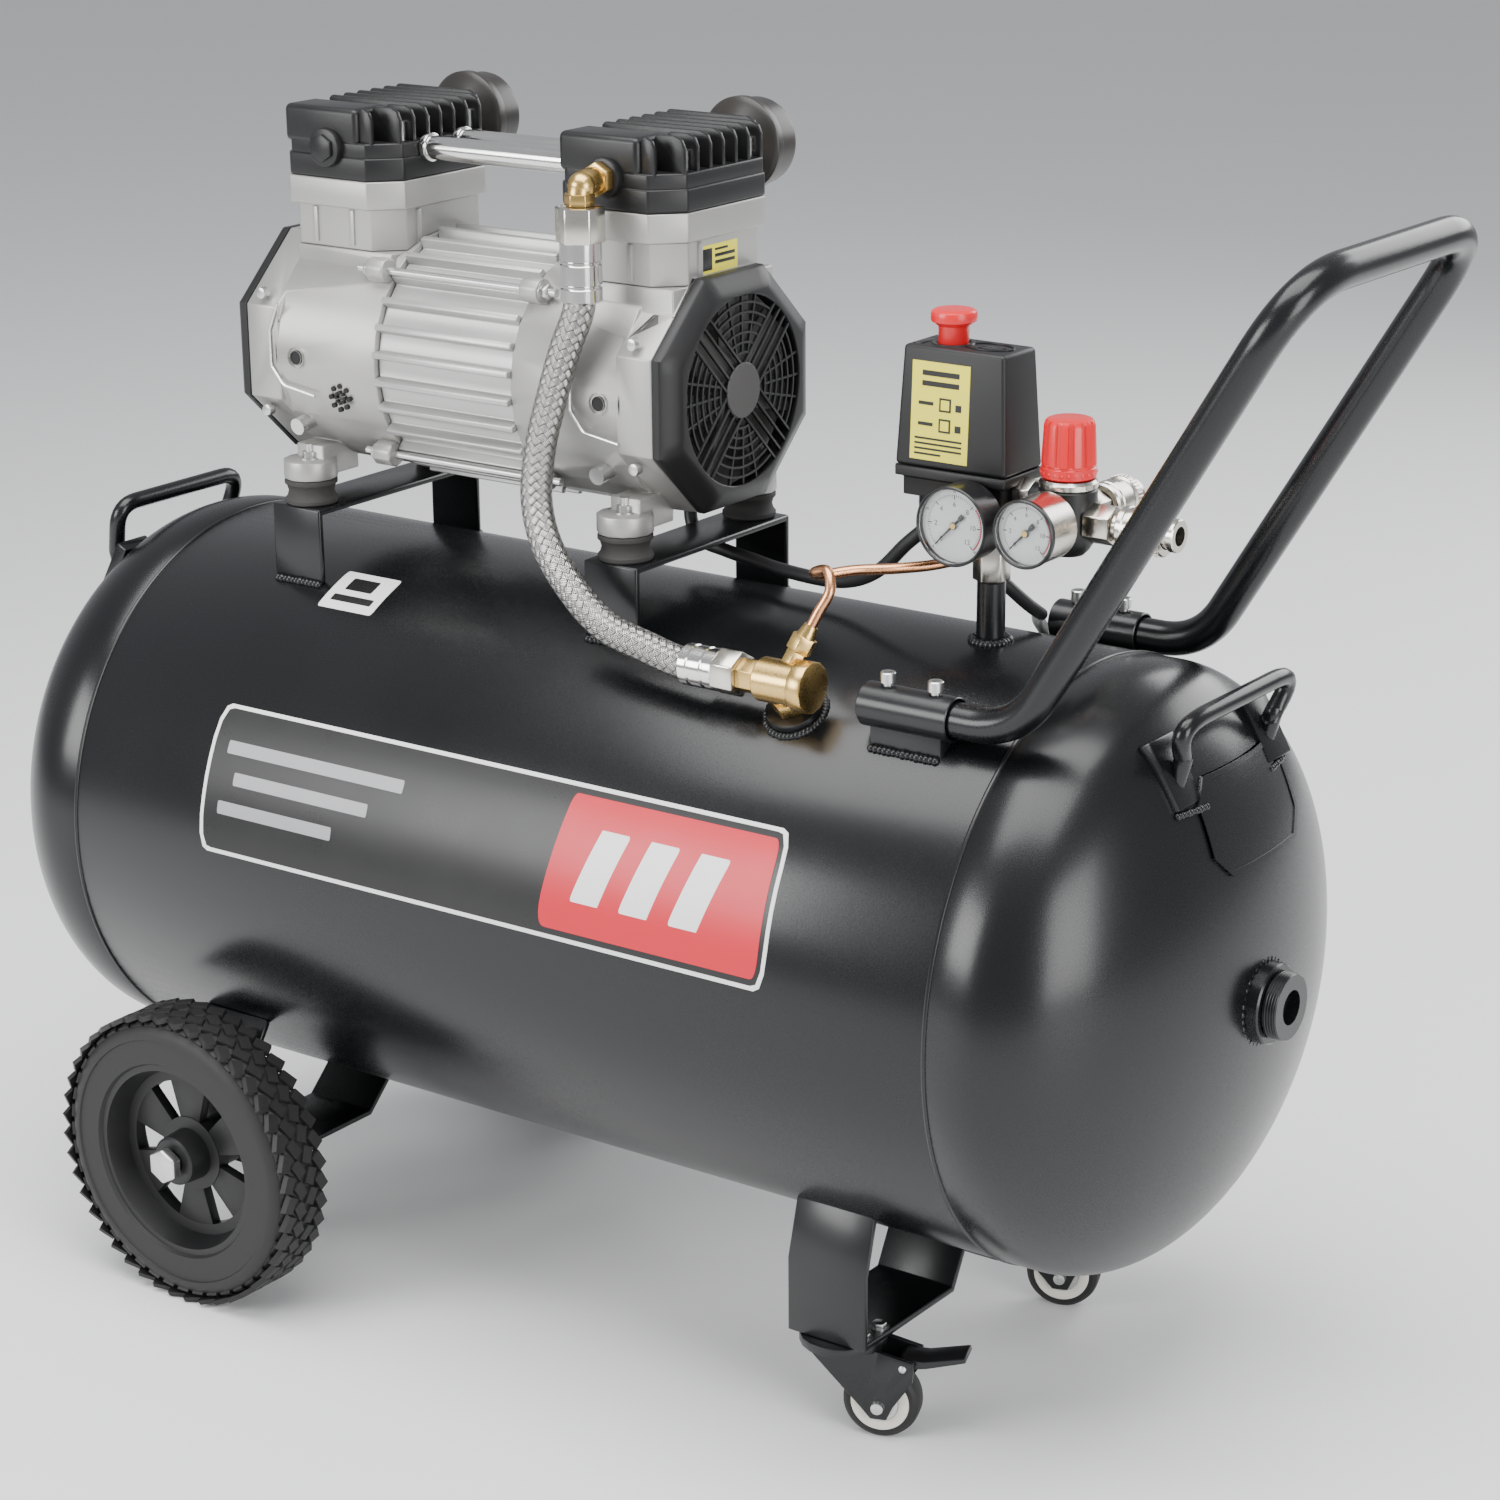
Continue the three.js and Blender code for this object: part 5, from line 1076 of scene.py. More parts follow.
def fan_cover(side):
    """An eight-sided cover whose window has four bands of bars and arcs between them."""
    bm = bmesh.new()
    skin(bm, [
        circle_loop(160.8, 60), octagon_loop(160.8, 74), octagon_loop(161.4, 75), octagon_loop(165.8, 75),
        octagon_loop(168, 73.6), octagon_loop(172.6, 65.2), octagon_loop(173.6, 63), octagon_loop(174, 61),
        circle_loop(174, 58.6), circle_loop(173.6, 58), circle_loop(171.5, 58), circle_loop(171.5, 60),
        circle_loop(160.8, 60),
    ])
    turned(bm, "x", (171.2, 0, PUMP_Z), [(0, 0), (0, 16.4), (0.6, 17), (2.2, 17), (2.8, 16.4), (2.8, 0)], 40)
    for quarter in range(4):
        turn = Matrix.Rotation(math.radians(45 + 90 * quarter), 4, "X")
        about = Matrix.Translation((0, 0, PUMP_Z)) @ turn @ Matrix.Translation((0, 0, -PUMP_Z))
        before = set(bm.verts)
        for offset in (-10.5, -3.5, 3.5, 10.5):
            near = math.sqrt(max(0, 17 ** 2 - offset ** 2))
            far = math.sqrt(59 ** 2 - offset ** 2)
            box(bm, (171.6, offset - 0.8, PUMP_Z + near - 1), (173.6, offset + 0.8, PUMP_Z + far), 0.25)
        bmesh.ops.transform(bm, matrix=about, verts=[v for v in bm.verts if v not in before])
        for radius in (23, 29, 35, 41, 47, 53):
            gap = math.degrees(math.asin(11.5 / radius))
            turned(bm, "x", (0, 0, PUMP_Z), [(171.4, radius - 0.7), (173.2, radius - 0.7),
                                             (173.2, radius + 0.7),
                                             (171.4, radius + 0.7), (171.4, radius - 0.7)],
                   12, 90 - 2 * gap, 45 + 90 * quarter + gap)
        for lean in (-14, 0, 14):
            turn = Matrix.Rotation(math.radians(90 * quarter + lean), 4, "X")
            about = Matrix.Translation((0, 0, PUMP_Z)) @ turn @ Matrix.Translation((0, 0, -PUMP_Z))
            ribs = box(bm, (171.3, -0.7, PUMP_Z + 22), (173, 0.7, PUMP_Z + 59))
            bmesh.ops.transform(bm, matrix=about, verts=ribs)
    if side == "left":
        mirrored(bm, "x")
    bmesh.ops.translate(bm, verts=bm.verts, vec=(PUMP_X, 0, 0))
    made_piece(bm, f"fan_cover_{side}_moulded", moulded_black, stands_for=(f"fan_cover_{side}",),
               looks=[(fan_grey, lambda p: math.hypot(p.y, p.z - PUMP_Z) < 16.8)])


for side in ("left", "right"):
    fan_cover(side)
for side in ("left", "right"):
    refined(f"fan_{side}", fan_grey, 0.3)
refined("rotor_shaft", bright_steel, 0.3)
for side in ("left", "right"):
    refined(f"piston_rod_{side}", bright_steel, 0.4)

# ---------------------------------------------------------------- elbow, hose and check valve
ELBOW_X, ELBOW_Y, ELBOW_Z = 19, -81, 737.5
HOSE_TOP = ELBOW_Z - 13.3

bm = bmesh.new()
rod(bm, (ELBOW_X, -60.3, ELBOW_Z), (ELBOW_X, -66.3, ELBOW_Z), 10.4, 6, round_off=0.6)
bend = rounded_line([(ELBOW_X, -64, ELBOW_Z), (ELBOW_X, ELBOW_Y, ELBOW_Z), (ELBOW_X, ELBOW_Y, HOSE_TOP + 2)],
                    [9], 10)
tube(bm, bend, 7.6, 10)
bmesh.ops.create_uvsphere(bm, u_segments=32, v_segments=16, radius=8.5,
                          matrix=Matrix.Translation((ELBOW_X, ELBOW_Y + 2.5, ELBOW_Z - 2)))
rod(bm, (ELBOW_X, ELBOW_Y, ELBOW_Z - 6), (ELBOW_X, ELBOW_Y, HOSE_TOP + 0.3), 9.2, 6, round_off=0.5)
made_piece(bm, "elbow_brass", brass_look, stands_for=("elbow_fitting",))

VALVE = boss_point(211)
VALVE_IN = VALVE.x - 27


def hose_line():
    """The hose's middle line from the upper ferrule to the lower one."""
    low_nut, low_ferrule = VALVE_IN - 16, VALVE_IN - 40
    start = Vector((ELBOW_X - 1, ELBOW_Y, HOSE_TOP - 21 - 35 + 3))
    end = Vector((low_ferrule + 3, VALVE.y, VALVE.z))
    first = [(-2, 0, -10), (-10, -3, -32), (-18, -7, -62), (-23, -13, -92), (-21, -20, -122)]
    last = [(-114, 10, 52), (-90, 8, 25), (-67, 5, 11), (-34, 2, 4), (-10, 0, 0)]
    route = [start, *[start + Vector(s) for s in first], *[end + Vector(s) for s in last], end]
    return smooth_line(route, 10), low_nut, low_ferrule


line, low_nut, low_ferrule = hose_line()


def braided_hose():
    """The hose, with a map of turns round it and steps along it for the braid."""
    bm = bmesh.new()
    sides, radius = 40, 9.6
    uv = bm.loops.layers.uv.new("around_along")
    spot = [0.0]
    for a, b in zip(line, line[1:]):
        spot.append(spot[-1] + (b - a).length)
    upright = Vector((0, 1, 0))
    last = None
    tangents = [(b - a).normalized() for a, b in zip([line[0]] + line[:-1], line[1:] + [line[-1]])]
    for point, along, tangent in zip(line, spot, tangents):
        upright = (upright - tangent * upright.dot(tangent)).normalized()
        across = tangent.cross(upright)
        ring = []
        for k in range(sides):
            angle = 2 * math.pi * k / sides
            ring.append(bm.verts.new(point + (upright * math.cos(angle) + across * math.sin(angle)) * radius))
        if last:
            for k in range(sides):
                after = (k + 1) % sides
                face = bm.faces.new([last[0][k], last[0][after], ring[after], ring[k]])
                cells = 14.0
                values = [(k / sides * cells, last[1]), ((k + 1) / sides * cells, last[1]),
                          ((k + 1) / sides * cells, along / 4.3), (k / sides * cells, along / 4.3)]
                for loop, value in zip(face.loops, values):
                    loop[uv].uv = value
        last = (ring, along / 4.3)
    return made_piece(bm, "hose_braid", braid_look, stands_for=("discharge_hose",), smooth=60)


braided_hose()

bm = bmesh.new()
rod(bm, (ELBOW_X, ELBOW_Y, HOSE_TOP), (ELBOW_X, ELBOW_Y, HOSE_TOP - 21), 15, 6, round_off=1.0)
rod(bm, (low_nut, VALVE.y, VALVE.z), (VALVE_IN - 0.3, VALVE.y, VALVE.z), 14, 6, round_off=1.0)
made_piece(bm, "hose_nuts", nickel_look)
bm = bmesh.new()
turned(bm, "z", (ELBOW_X, ELBOW_Y, HOSE_TOP - 56), [
    (0, 9.5), (0, 11.8), (1, 12.5), (8, 12.5), (8.8, 11.7), (10, 11.7), (10.8, 12.5), (22, 12.5),
    (22.8, 11.7),
    (24, 11.7), (24.8, 12.5), (35, 12.5), (36, 11)], 48)
turned(bm, "x", (low_ferrule, VALVE.y, VALVE.z), [
    (0, 9.5), (0, 11.8), (1, 12.5), (6, 12.5), (6.8, 11.7), (8, 11.7), (8.8, 12.5), (16, 12.5), (16.8, 11.7),
    (18, 11.7), (18.8, 12.5), (24, 12.5), (25, 11)], 48)
made_piece(bm, "hose_ferrules", chrome_tube)

bm = bmesh.new()
rod(bm, (VALVE_IN, VALVE.y, VALVE.z), (VALVE.x - 8, VALVE.y, VALVE.z), 10.5, 6, round_off=0.6)
turned(bm, "x", (VALVE.x - 14, VALVE.y, VALVE.z), [(0, 0), (0, 12), (1.2, 13), (26, 13), (27, 12), (27, 0)],
       48)
rod(bm, (VALVE.x + 12, VALVE.y, VALVE.z), (VALVE.x + 22, VALVE.y, VALVE.z), 15.5, 12, round_off=1.0)
rod(bm, boss_point(191.3), boss_point(200), 11.5, 6, round_off=0.6)
rod(bm, boss_point(199), VALVE, 9.5, 32)
branch = Vector((0.33, 0.33, 0.88)).normalized()
rod(bm, VALVE, VALVE + branch * 20, 6.5, 6, round_off=0.4)
made_piece(bm, "check_valve_brass", brass_look, stands_for=("check_valve",))


def copper_line():
    """The unloader pipe's middle line, up from the check valve and into the manifold."""
    bend = VALVE + branch * 60
    end = Vector((254.6 - 12, -9, 539.7))
    shifts = [(-6, 6, 9), (-19, 12, 5), (-21, 22, 1), (-9, 38, 2), (10, 56, 2)]
    return smooth_line([VALVE + branch * 30, VALVE + branch * 45, bend, *[bend + Vector(s) for s in shifts],
                        end + Vector((-10, -11, -12)), end + Vector((0, 0, -8)), end], 8)


bm = bmesh.new()
tube(bm, copper_line(), 3.2, 8)
made_piece(bm, "copper_pipe", copper_look, stands_for=("unloader_pipe",))
bm = bmesh.new()
rod(bm, VALVE + branch * 20.3, VALVE + branch * 30, 8, 6, round_off=0.6)
rod(bm, VALVE + branch * 29, VALVE + branch * 37, 6, 28, 4.2)
made_piece(bm, "copper_pipe_nut", brass_look)

# ---------------------------------------------------------------- motor cable
bm = bmesh.new()
lean = 0.55
drop = -math.sqrt(1 - lean ** 2)
mgx, mgy, mgz = 212.6, 0, 554
route = [(2, lean * d, PUMP_Z + drop * d) for d in (77, 91)] + [
    (4, 44, 510), (13, 41, 498), (35, 38, 494), (60, 32, 493), (90, 22, 493), (mgx - 70, 12, 496),
    (mgx - 40, 4, 509), (mgx - 18, 0, mgz - 25), (mgx - 2, mgy, mgz - 10), (mgx, mgy, mgz - 4),
    (mgx, mgy, mgz - 0.6)]
tube(bm, smooth_line(route, 8), 4.3, 6)
made_piece(bm, "motor_cable_sheath", cord_look, stands_for=("motor_cable",))

# ---------------------------------------------------------------- manifold, switch and regulator
RISER_X, SWITCH_X, REG_X = 254.6, 237.6, 305
KNOB_X, COUPLER_Z = RISER_X - 28, 560.55
refined("manifold_block", head_casting, 1.0)
bm = bmesh.new()
rod(bm, (RISER_X, 0, 517.1), (RISER_X, 0, 540.2), 11.4, 6, round_off=0.9)
made_piece(bm, "riser_nut", nickel_look)

refined("switch_base", moulded_black, 1.2)


def switch_cover():
    """The tapered cover of the pressure switch, with raised marks on its top."""
    bm = bmesh.new()
    low = [(SWITCH_X + u, v) for u, v in ((-37.5, -21), (37.5, -21), (37.5, 21), (-37.5, 21))]
    verts = prism(bm, "z", low, 583.3, 653.3)
    for vert in verts:
        if vert.co.z > 600:
            vert.co.x = SWITCH_X + (vert.co.x - SWITCH_X) * 34 / 37.5
            vert.co.y *= 17.5 / 21
    soften(bm, verts, 2.4, 4)
    made_piece(bm, "switch_cover_moulded", moulded_black, stands_for=("switch_cover",))
    bm = bmesh.new()
    turned(bm, "z", (KNOB_X, 0, 652.9), [(0, 10.2), (0.9, 10.2), (1.2, 11), (1.2, 12.6), (0, 13.2)], 40)
    ring = [(SWITCH_X + 14 + 15 * math.cos(a), 9.5 * math.sin(a), 653.6)
            for a in [k / 40 * 2 * math.pi for k in range(41)]]
    tube(bm, ring, 0.6, 2)
    box(bm, (SWITCH_X + 8, -4, 652.9), (SWITCH_X + 24, -2.4, 653.9), 0.2)
    box(bm, (SWITCH_X + 8, 0, 652.9), (SWITCH_X + 24, 1.6, 653.9), 0.2)
    box(bm, (SWITCH_X - 31, -12, 652.9), (SWITCH_X - 25, 3, 653.8), 0.3)
    made_piece(bm, "switch_cover_marks", glossy_black)


switch_cover()


def on_cover_front(u, v):
    """A place on the leaning front of the switch cover."""
    share = (v - 583.3) / 70
    return Vector((SWITCH_X + u, -(21 - 3.5 * share), v))


def cover_plate(name, look, u0, v0, u1, v1, lift, depth=0.4):
    bm = bmesh.new()
    corners = [on_cover_front(u, v) for u, v in ((u0, v0), (u1, v0), (u1, v1), (u0, v1))]
    face = bm.faces.new([bm.verts.new(c + Vector((0, -lift, 0))) for c in corners])
    made = bmesh.ops.extrude_face_region(bm, geom=[face])
    verts = [g for g in made["geom"] if isinstance(g, bmesh.types.BMVert)]
    bmesh.ops.translate(bm, verts=verts, vec=(0, depth + lift, 0))
    made_piece(bm, name, look)


cover_plate("switch_label", print_yellow, -27, 588, 12, 645, 0.35)
for index, (u0, u1, v0, v1) in enumerate([
        (-20, 5, 637, 640), (-20, 5, 631, 634), (-22, -12, 620, 622), (-22, -12, 608, 610),
        (-8, 0, 617, 625), (-8, 0, 605, 613), (3, 7, 618, 622), (3, 7, 606, 610),
        (-24, 8, 600, 601.2), (-24, 8, 597, 598.2), (-24, 8, 594, 595.2), (-24, -6, 591, 592.2)]):
    cover_plate(f"switch_label_mark_{index}", print_black, u0, v0, u1, v1, 0.5)
for index, (u0, u1, v0, v1) in enumerate([(-6.8, -1.2, 618.2, 623.8), (-6.8, -1.2, 606.2, 611.8)]):
    cover_plate(f"switch_label_inset_{index}", print_yellow, u0, v0, u1, v1, 0.62)

bm = bmesh.new()
turned(bm, "z", (KNOB_X, 0, 631.3), [(0, 0), (0, 9), (31, 9), (32.6, 9.6), (34, 12), (35.2, 13.3),
                                     (36.6, 13.5),
                                          (39, 13.5), (40.6, 13), (41.6, 11.6), (42, 9.4), (41.8, 0)], 64)
made_piece(bm, "switch_knob_moulded", red_look, body="switch_knob", stands_for=("switch_knob",))


def regulator_knob():
    """A ribbed knob on a knurled ring."""
    bm = bmesh.new()
    z0 = 585.3
    loops = []
    for z, radius, groove in ((0, 15.0, 0), (0.8, 16, 0), (6, 16, 0), (6.6, 15.2, 0), (7.4, 15.2, 0),
                              (8, 16, 1.7),
                              (30, 14.8, 1.7), (32, 14.2, 0.7), (33.4, 13.2, 0), (34, 11.6, 0)):
        loop = []
        for k in range(120):
            angle = 2 * math.pi * k / 120
            cut = groove if k % 10 < 4 else 0
            reach = radius - cut
            loop.append((REG_X + reach * math.cos(angle), reach * math.sin(angle), z0 + z))
        loops.append(loop)
    skin(bm, loops)
    for z in (z0, z0 + 34):
        rim = [e for e in bm.edges if e.is_boundary and abs(e.verts[0].co.z - z) < 0.1
               and abs(e.verts[1].co.z - z) < 0.1]
        bmesh.ops.contextual_create(bm, geom=rim)
    for k in range(24):
        angle = 2 * math.pi * k / 24
        x, y = REG_X + 15.7 * math.cos(angle), 15.7 * math.sin(angle)
        bmesh.ops.create_icosphere(bm, subdivisions=1, radius=1.1,
                                   matrix=Matrix.Translation((x, y, z0 + 3.4)))
    made_piece(bm, "regulator_knob_moulded", red_look, body="regulator_knob", stands_for=("regulator_knob",),
               smooth=28)


regulator_knob()


def regulator():
    """The regulator body, its collar and the bodies of both quick couplers."""
    bm = bmesh.new()
    turned(bm, "z", (REG_X, 0, 540.3), [(0, 0), (0, 10), (3, 13), (8, 16), (14, 17), (38, 17), (39, 16),
                                        (39, 0)], 56)
    rod(bm, (271, 0, 570.3), (295, 0, 570.3), 9.5, 32)
    made_piece(bm, "regulator_casting", head_casting, stands_for=("regulator_body",))
    bm = bmesh.new()
    turned(bm, "z", (REG_X, 0, 579.2), [(0, 12), (0, 16.4), (0.8, 17), (3.6, 17), (4.4, 16.4), (5.4, 15.8),
                                        (5.6, 12)], 56)
    rod(bm, (273, 0, 570.3), (284, 0, 570.3), 11.4, 6, round_off=0.7)
    for way in ("x", "y"):
        before = set(bm.verts)
        rod(bm, (15, 0, 0), (32, 0, 0), 12, 6, round_off=0.8)
        turned(bm, "x", (32, 0, 0), [(-1, 9.8), (0.2, 9.8), (0.8, 8), (36, 8), (37, 9.6), (40.4, 9.6),
                                     (41, 9), (41, 5.6),
                                     (14, 5), (14, 0)], 48)
        place = Matrix.Translation((REG_X, 0, COUPLER_Z))
        if way == "y":
            place = place @ Matrix.Rotation(math.pi / 2, 4, "Z")
        bmesh.ops.transform(bm, matrix=place, verts=[v for v in bm.verts if v not in before])
    made_piece(bm, "coupler_bodies", nickel_look)


regulator()

for way in ("side", "rear"):
    bm = bmesh.new()
    turned(bm, "x", (37, 0, 0), [(0, 8.7), (0, 12), (1, 13), (4, 13), (4.6, 12.4), (6, 12.4), (6.6, 13),
                                 (12, 13),
                                 (13, 11.8), (21, 11.8), (22, 13), (27, 13), (28, 12.2), (28, 8.7),
                                 (0, 8.7)], 56)
    for k in range(36):
        angle = k / 36 * 2 * math.pi
        y, z = 12.9 * math.cos(angle), 12.9 * math.sin(angle)
        rod(bm, (37 + 22.4, y, z), (37 + 26.8, y, z), 0.55, 6)
    place = Matrix.Translation((REG_X, 0, COUPLER_Z))
    if way == "rear":
        place = place @ Matrix.Rotation(math.pi / 2, 4, "Z")
    bmesh.ops.transform(bm, matrix=place, verts=bm.verts)
    made_piece(bm, f"coupler_sleeve_{way}_knurled", nickel_look, body=f"coupler_sleeve_{way}",
               stands_for=(f"coupler_sleeve_{way}",))


# ---------------------------------------------------------------- gauges
def number_on(bm, text, x, y, z, size):
    """A numeral that stands on a dial, facing the front."""
    letters = bpy.data.curves.new("numeral", "FONT")
    letters.body = text
    letters.size = size
    letters.align_x, letters.align_y = "CENTER", "CENTER"
    letters.extrude = 0.04
    holder = bpy.data.objects.new("numeral", letters)
    mesh = bpy.data.meshes.new_from_object(holder)
    mesh.transform(Matrix.Translation((x, y, z)) @ Matrix.Rotation(math.pi / 2, 4, "X"))
    bm.from_mesh(mesh)
    bpy.data.objects.remove(holder)
    bpy.data.curves.remove(letters)
    bpy.data.meshes.remove(mesh)


def gauge(side, x, z, radius, face_y, depth, back_y, case_look):
    """A pressure gauge: case, dial, scale, red arc, glass and pointer."""
    dial_y = face_y + 5
    bm = bmesh.new()
    turned(bm, "y", (x, face_y, z), [
        (5.4, 0), (5.4, radius - 1.8), (0.6, radius - 1.8), (0, radius - 1.4), (0, radius - 0.6),
        (0.8, radius),
        (3, radius), (3.6, radius - 0.5), (depth - 1.4, radius - 0.5), (depth, radius - 2), (depth, 0)], 72)
    rod(bm, (x, face_y + depth - 2, z), (x, back_y - 0.3, z), 5.4, 6)
    made_piece(bm, f"gauge_{side}_case", case_look, stands_for=(f"gauge_{side}",),
               looks=[(glossy_black, lambda p: p.y < face_y + 3.6)] if case_look is not glossy_black else ())
    bm = bmesh.new()
    turned(bm, "y", (x, dial_y, z), [(0.2, 0), (0.2, radius - 2), (-0.1, radius - 2), (-0.1, 0)], 64)
    made_piece(bm, f"gauge_{side}_dial", dial_white)
    bm = bmesh.new()
    scale = radius / 23.5
    for k in range(61):
        angle = math.radians(225 - 270 * k / 60)
        major = k % 10 == 0
        near, far = (15.2 if major else 16.6) * scale, 18 * scale
        tick = box(bm, (near, -0.06, -0.3 if major else -0.12), (far, 0.06, 0.3 if major else 0.12))
        place = Matrix.Translation((x, dial_y - 0.16, z)) @ Matrix.Rotation(-angle, 4, "Y")
        bmesh.ops.transform(bm, matrix=place, verts=tick)
    for value in range(0, 13, 2):
        angle = math.radians(225 - 270 * value / 12)
        number_on(bm, str(value), x + 12.4 * scale * math.cos(angle), dial_y - 0.16,
                  z + 12.4 * scale * math.sin(angle), 4.2 * scale)
    for value in range(0, 181, 45):
        angle = math.radians(225 - 270 * value / 180)
        number_on(bm, str(value), x + 19.7 * scale * math.cos(angle), dial_y - 0.16,
                  z + 19.7 * scale * math.sin(angle), 2.2 * scale)
    made_piece(bm, f"gauge_{side}_scale", ink_black)
    bm = bmesh.new()
    turned(bm, "y", (x, dial_y - 0.14, z), [(-0.05, 17.7 * scale), (0.05, 17.7 * scale), (0.05, 18.6 * scale),
                                           (-0.05, 18.6 * scale), (-0.05, 17.7 * scale)], 24, 82, -38)
    made_piece(bm, f"gauge_{side}_red_arc", ink_red)
    bm = bmesh.new()
    turned(bm, "y", (x, face_y + 1.1, z), [(0, 0), (0, radius - 1.9), (0.9, radius - 1.9), (0.9, 0)], 64)
    made_piece(bm, f"gauge_{side}_glass", clear_glass)
    bm = bmesh.new()
    tip, tail = radius * 0.72, radius * 0.4
    outline = [(-tail, -1.5), (-tail + 3, -1.5), (-tail + 4, -0.8), (0, -0.8), (tip, -0.2), (tip, 0.2),
               (0, 0.8),
               (-tail + 4, 0.8), (-tail + 3, 1.5), (-tail, 1.5)]
    prism(bm, "y", outline, -0.3, 0.2)
    turned(bm, "y", (0, 0, 0), [(-0.7, 0), (-0.7, 1.8), (-0.3, 2.2), (0.5, 2.2)], 28)
    place = Matrix.Translation((x, dial_y - 1.5, z)) @ Matrix.Rotation(-math.radians(225), 4, "Y")
    bmesh.ops.transform(bm, matrix=place, verts=bm.verts)
    made_piece(bm, f"gauge_{side}_pointer", ink_black, body=f"gauge_{side}_needle",
               stands_for=(f"gauge_{side}_needle",),
               looks=[(brass_look, lambda p: math.hypot(p.x - x, p.z - z) < 1.9 and p.y < dial_y - 1.9)])


gauge("left", 254.6, 558, 23.5, -46, 22, -14, glossy_black)
gauge("right", REG_X, 561.5, 20, -50, 29, -17, nickel_look)

# ---------------------------------------------------------------- drain valve
refined("drain_valve", brass_look, 0.6)


# ---------------------------------------------------------------- wheels
WHEEL_X, WHEEL_RADIUS = -230, 100


def wheel(end):
    """A solid wheel: tyre with tread blocks, deep rim with six openings, and hub."""
    bm = bmesh.new()
    cx, cz = WHEEL_X, WHEEL_RADIUS
    inner, outer = -175, -216
    turned(bm, "y", (cx, 0, cz), [
        (inner - 3, 61), (inner, 66), (inner, 86), (inner - 2, 90), (inner - 7, 95.4), (inner - 12, 97.6),
        (outer + 12, 97.6), (outer + 7, 95.4), (outer + 2, 90), (outer, 86), (outer, 83.6), (outer + 1, 83),
        (outer + 1, 67), (outer + 3.4, 65.6), (outer + 3.4, 61.6), (outer + 5, 61), (-197.2, 57), (-197, 50),
        (-189, 50), (-189, 57), (inner - 3, 61)], 96)
    turned(bm, "y", (cx, 0, cz), [(-161, 8.6), (-161, 17), (-188.6, 17), (-188.6, 25), (-197.4, 25),
                                  (-198, 17.6),
                                  (-213.6, 16.4), (-215, 15), (-215, 8.6), (-161, 8.6)], 64)
    for k in range(6):
        def spot(radius, across, step):
            turn = Matrix.Rotation(math.radians(60 * step), 2)
            u, v = turn @ Vector((radius, across))
            return cx + u, cz + v
        outline = [spot(23, 4, k), spot(51, 11, k), spot(51, 0, k + 0.5), spot(51, -11, k + 1),
                   spot(23, -4, k + 1)]
        prism(bm, "y", outline, -197, -189.4, 0.8)
    for k in range(44):
        angle = k / 44 * 2 * math.pi
        for row, (y, lean) in enumerate(((-181, 0.5), (-190.5, -0.5), (-200.5, 0.5), (-210, -0.5))):
            turn = angle + (math.pi / 44 if row % 2 else 0)
            knob = box(bm, (-6.3, -4.5, 96), (6.3, 4.5, 99.4))
            for vert in knob:
                if vert.co.z > 97:
                    vert.co.x *= 0.86
                    vert.co.y *= 0.82
            place = (Matrix.Translation((cx, y, cz)) @ Matrix.Rotation(turn, 4,
                                                                       "Y") @ Matrix.Rotation(lean, 4, "Z"))
            bmesh.ops.transform(bm, matrix=place, verts=knob)
        for y, z in ((outer + 6.2, 91.4), (inner - 6.2, 91.4)):
            knob = box(bm, (-4.6, -2.2, -3.4), (4.6, 2.2, 3.4))
            place = (Matrix.Translation((cx, y, cz)) @ Matrix.Rotation(angle, 4, "Y")
                     @ Matrix.Translation((0, 0, z)) @ Matrix.Rotation(0.55 if y < -190 else -0.55, 4, "X"))
            bmesh.ops.transform(bm, matrix=place, verts=knob)
    if end == "rear":
        mirrored(bm, "y")
    made_piece(bm, f"wheel_{end}_moulded", tyre_rubber, body=f"wheel_{end}", stands_for=(f"wheel_{end}",),
               looks=[(moulded_black, lambda p: math.hypot(p.x - cx, p.z - cz) < 66)])


for end in ("front", "rear"):
    wheel(end)

# ---------------------------------------------------------------- casters
CASTER_X, CASTER_Y, CASTER_TURN = 224, 107, math.radians(20)
CASTER_TRAIL, CASTER_RADIUS, CASTER_HALF_WIDTH = 25, 24, 9


def caster_place(sign):
    """The turned place of a caster below its bracket."""
    return Matrix.Translation((CASTER_X, sign * CASTER_Y, 0)) @ Matrix.Rotation(CASTER_TURN, 4, "Z")


def across_fork(point, sign):
    """Where a point lies in the fork's own directions."""
    return caster_place(sign).inverted() @ point


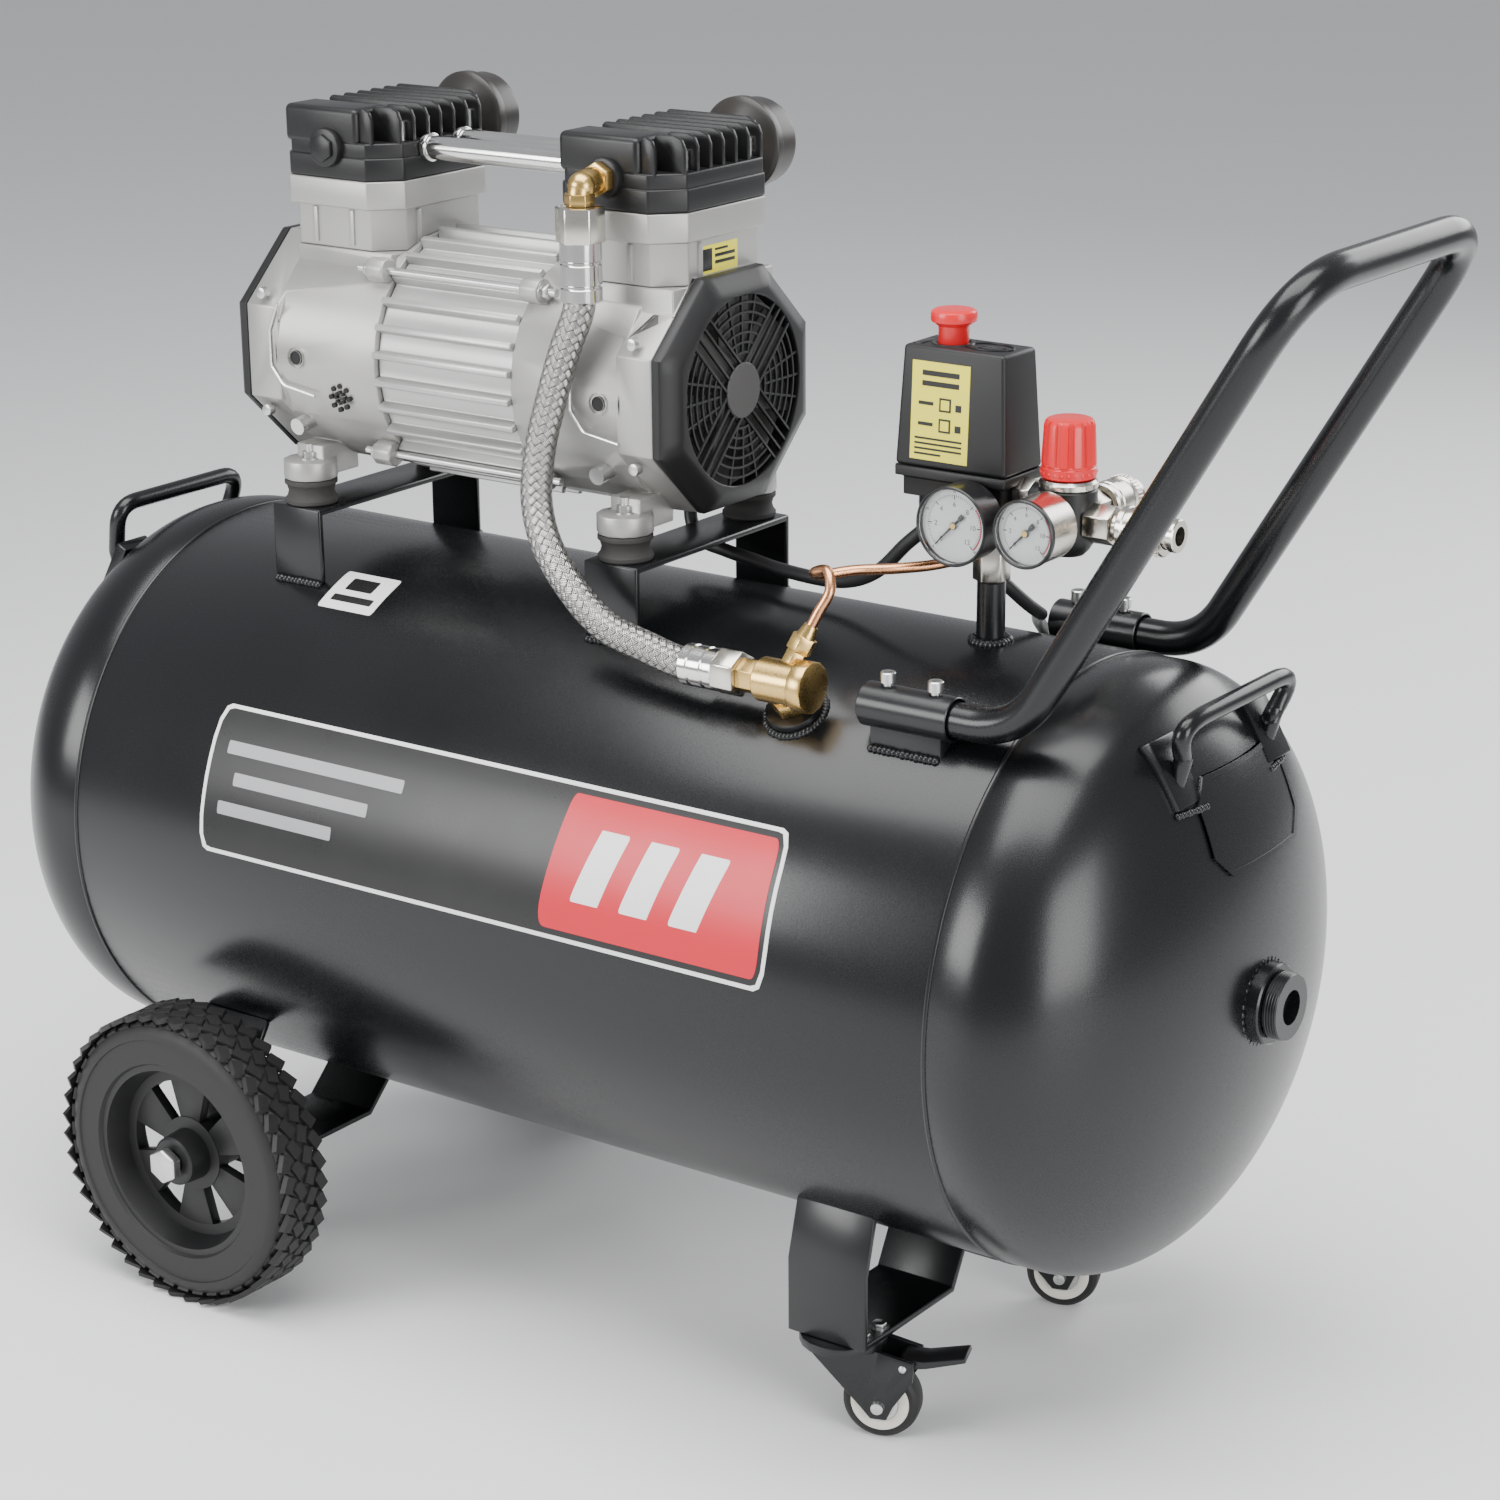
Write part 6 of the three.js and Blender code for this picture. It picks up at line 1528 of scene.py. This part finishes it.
for end, sign in (("front", -1), ("rear", 1)):
    refined(f"caster_fork_{end}", bent_steel_paint, 0.7, sharper_than=34,
            looks=[(zinc_look, lambda p, s=sign: abs(across_fork(p, s).y) > 14.3 and p.z < 55)])
    refined(f"brake_pedal_{end}", glossy_black, 0.6)
    bm = bmesh.new()
    turned(bm, "y", (CASTER_TRAIL, 0, CASTER_RADIUS),
           [(-9, 4.6), (-9, 18.6), (-8.8, 21), (-7, 23.2), (-4, 24), (4, 24), (7, 23.2),
                                  (8.8, 21), (9, 18.6), (9, 4.6), (-9, 4.6)], 64)
    bmesh.ops.transform(bm, matrix=caster_place(sign), verts=bm.verts)
    made_piece(bm, f"caster_tyre_{end}", tyre_rubber, body=f"caster_wheel_{end}",
               stands_for=(f"caster_wheel_{end}",))
    bm = bmesh.new()
    for face in (-1, 1):
        turned(bm, "y", (CASTER_TRAIL, face * CASTER_HALF_WIDTH, CASTER_RADIUS),
               [(0, 11.5), (face * 0.7, 11.8), (face * 0.9, 13), (face * 0.9, 16.6),
                                             (face * 0.6, 17.8), (0, 18.2)], 56)
    bmesh.ops.transform(bm, matrix=caster_place(sign), verts=bm.verts)
    made_piece(bm, f"caster_ring_{end}", cream_look, body=f"caster_wheel_{end}")
    bm = bmesh.new()
    for face in (-1, 1):
        turned(bm, "y", (CASTER_TRAIL, face * CASTER_HALF_WIDTH, CASTER_RADIUS),
               [(0, 4.8), (face * 0.9, 5), (face * 1.2, 7), (face * 0.8, 11.4), (0, 11.6)], 48)
    bmesh.ops.transform(bm, matrix=caster_place(sign), verts=bm.verts)
    made_piece(bm, f"caster_hub_{end}", zinc_look, body=f"caster_wheel_{end}")

bm = bmesh.new()
for sign in (-1, 1):
    for u, v in ((-20, -20), (20, -20), (-20, 20), (20, 20)):
        spot = Vector((CASTER_X + u, sign * CASTER_Y + v * 0.45, 69.8))
        hex_bolt(bm, spot, (0, 0, 1), 4.6, 3.4)
made_piece(bm, "caster_plate_bolts", zinc_look)
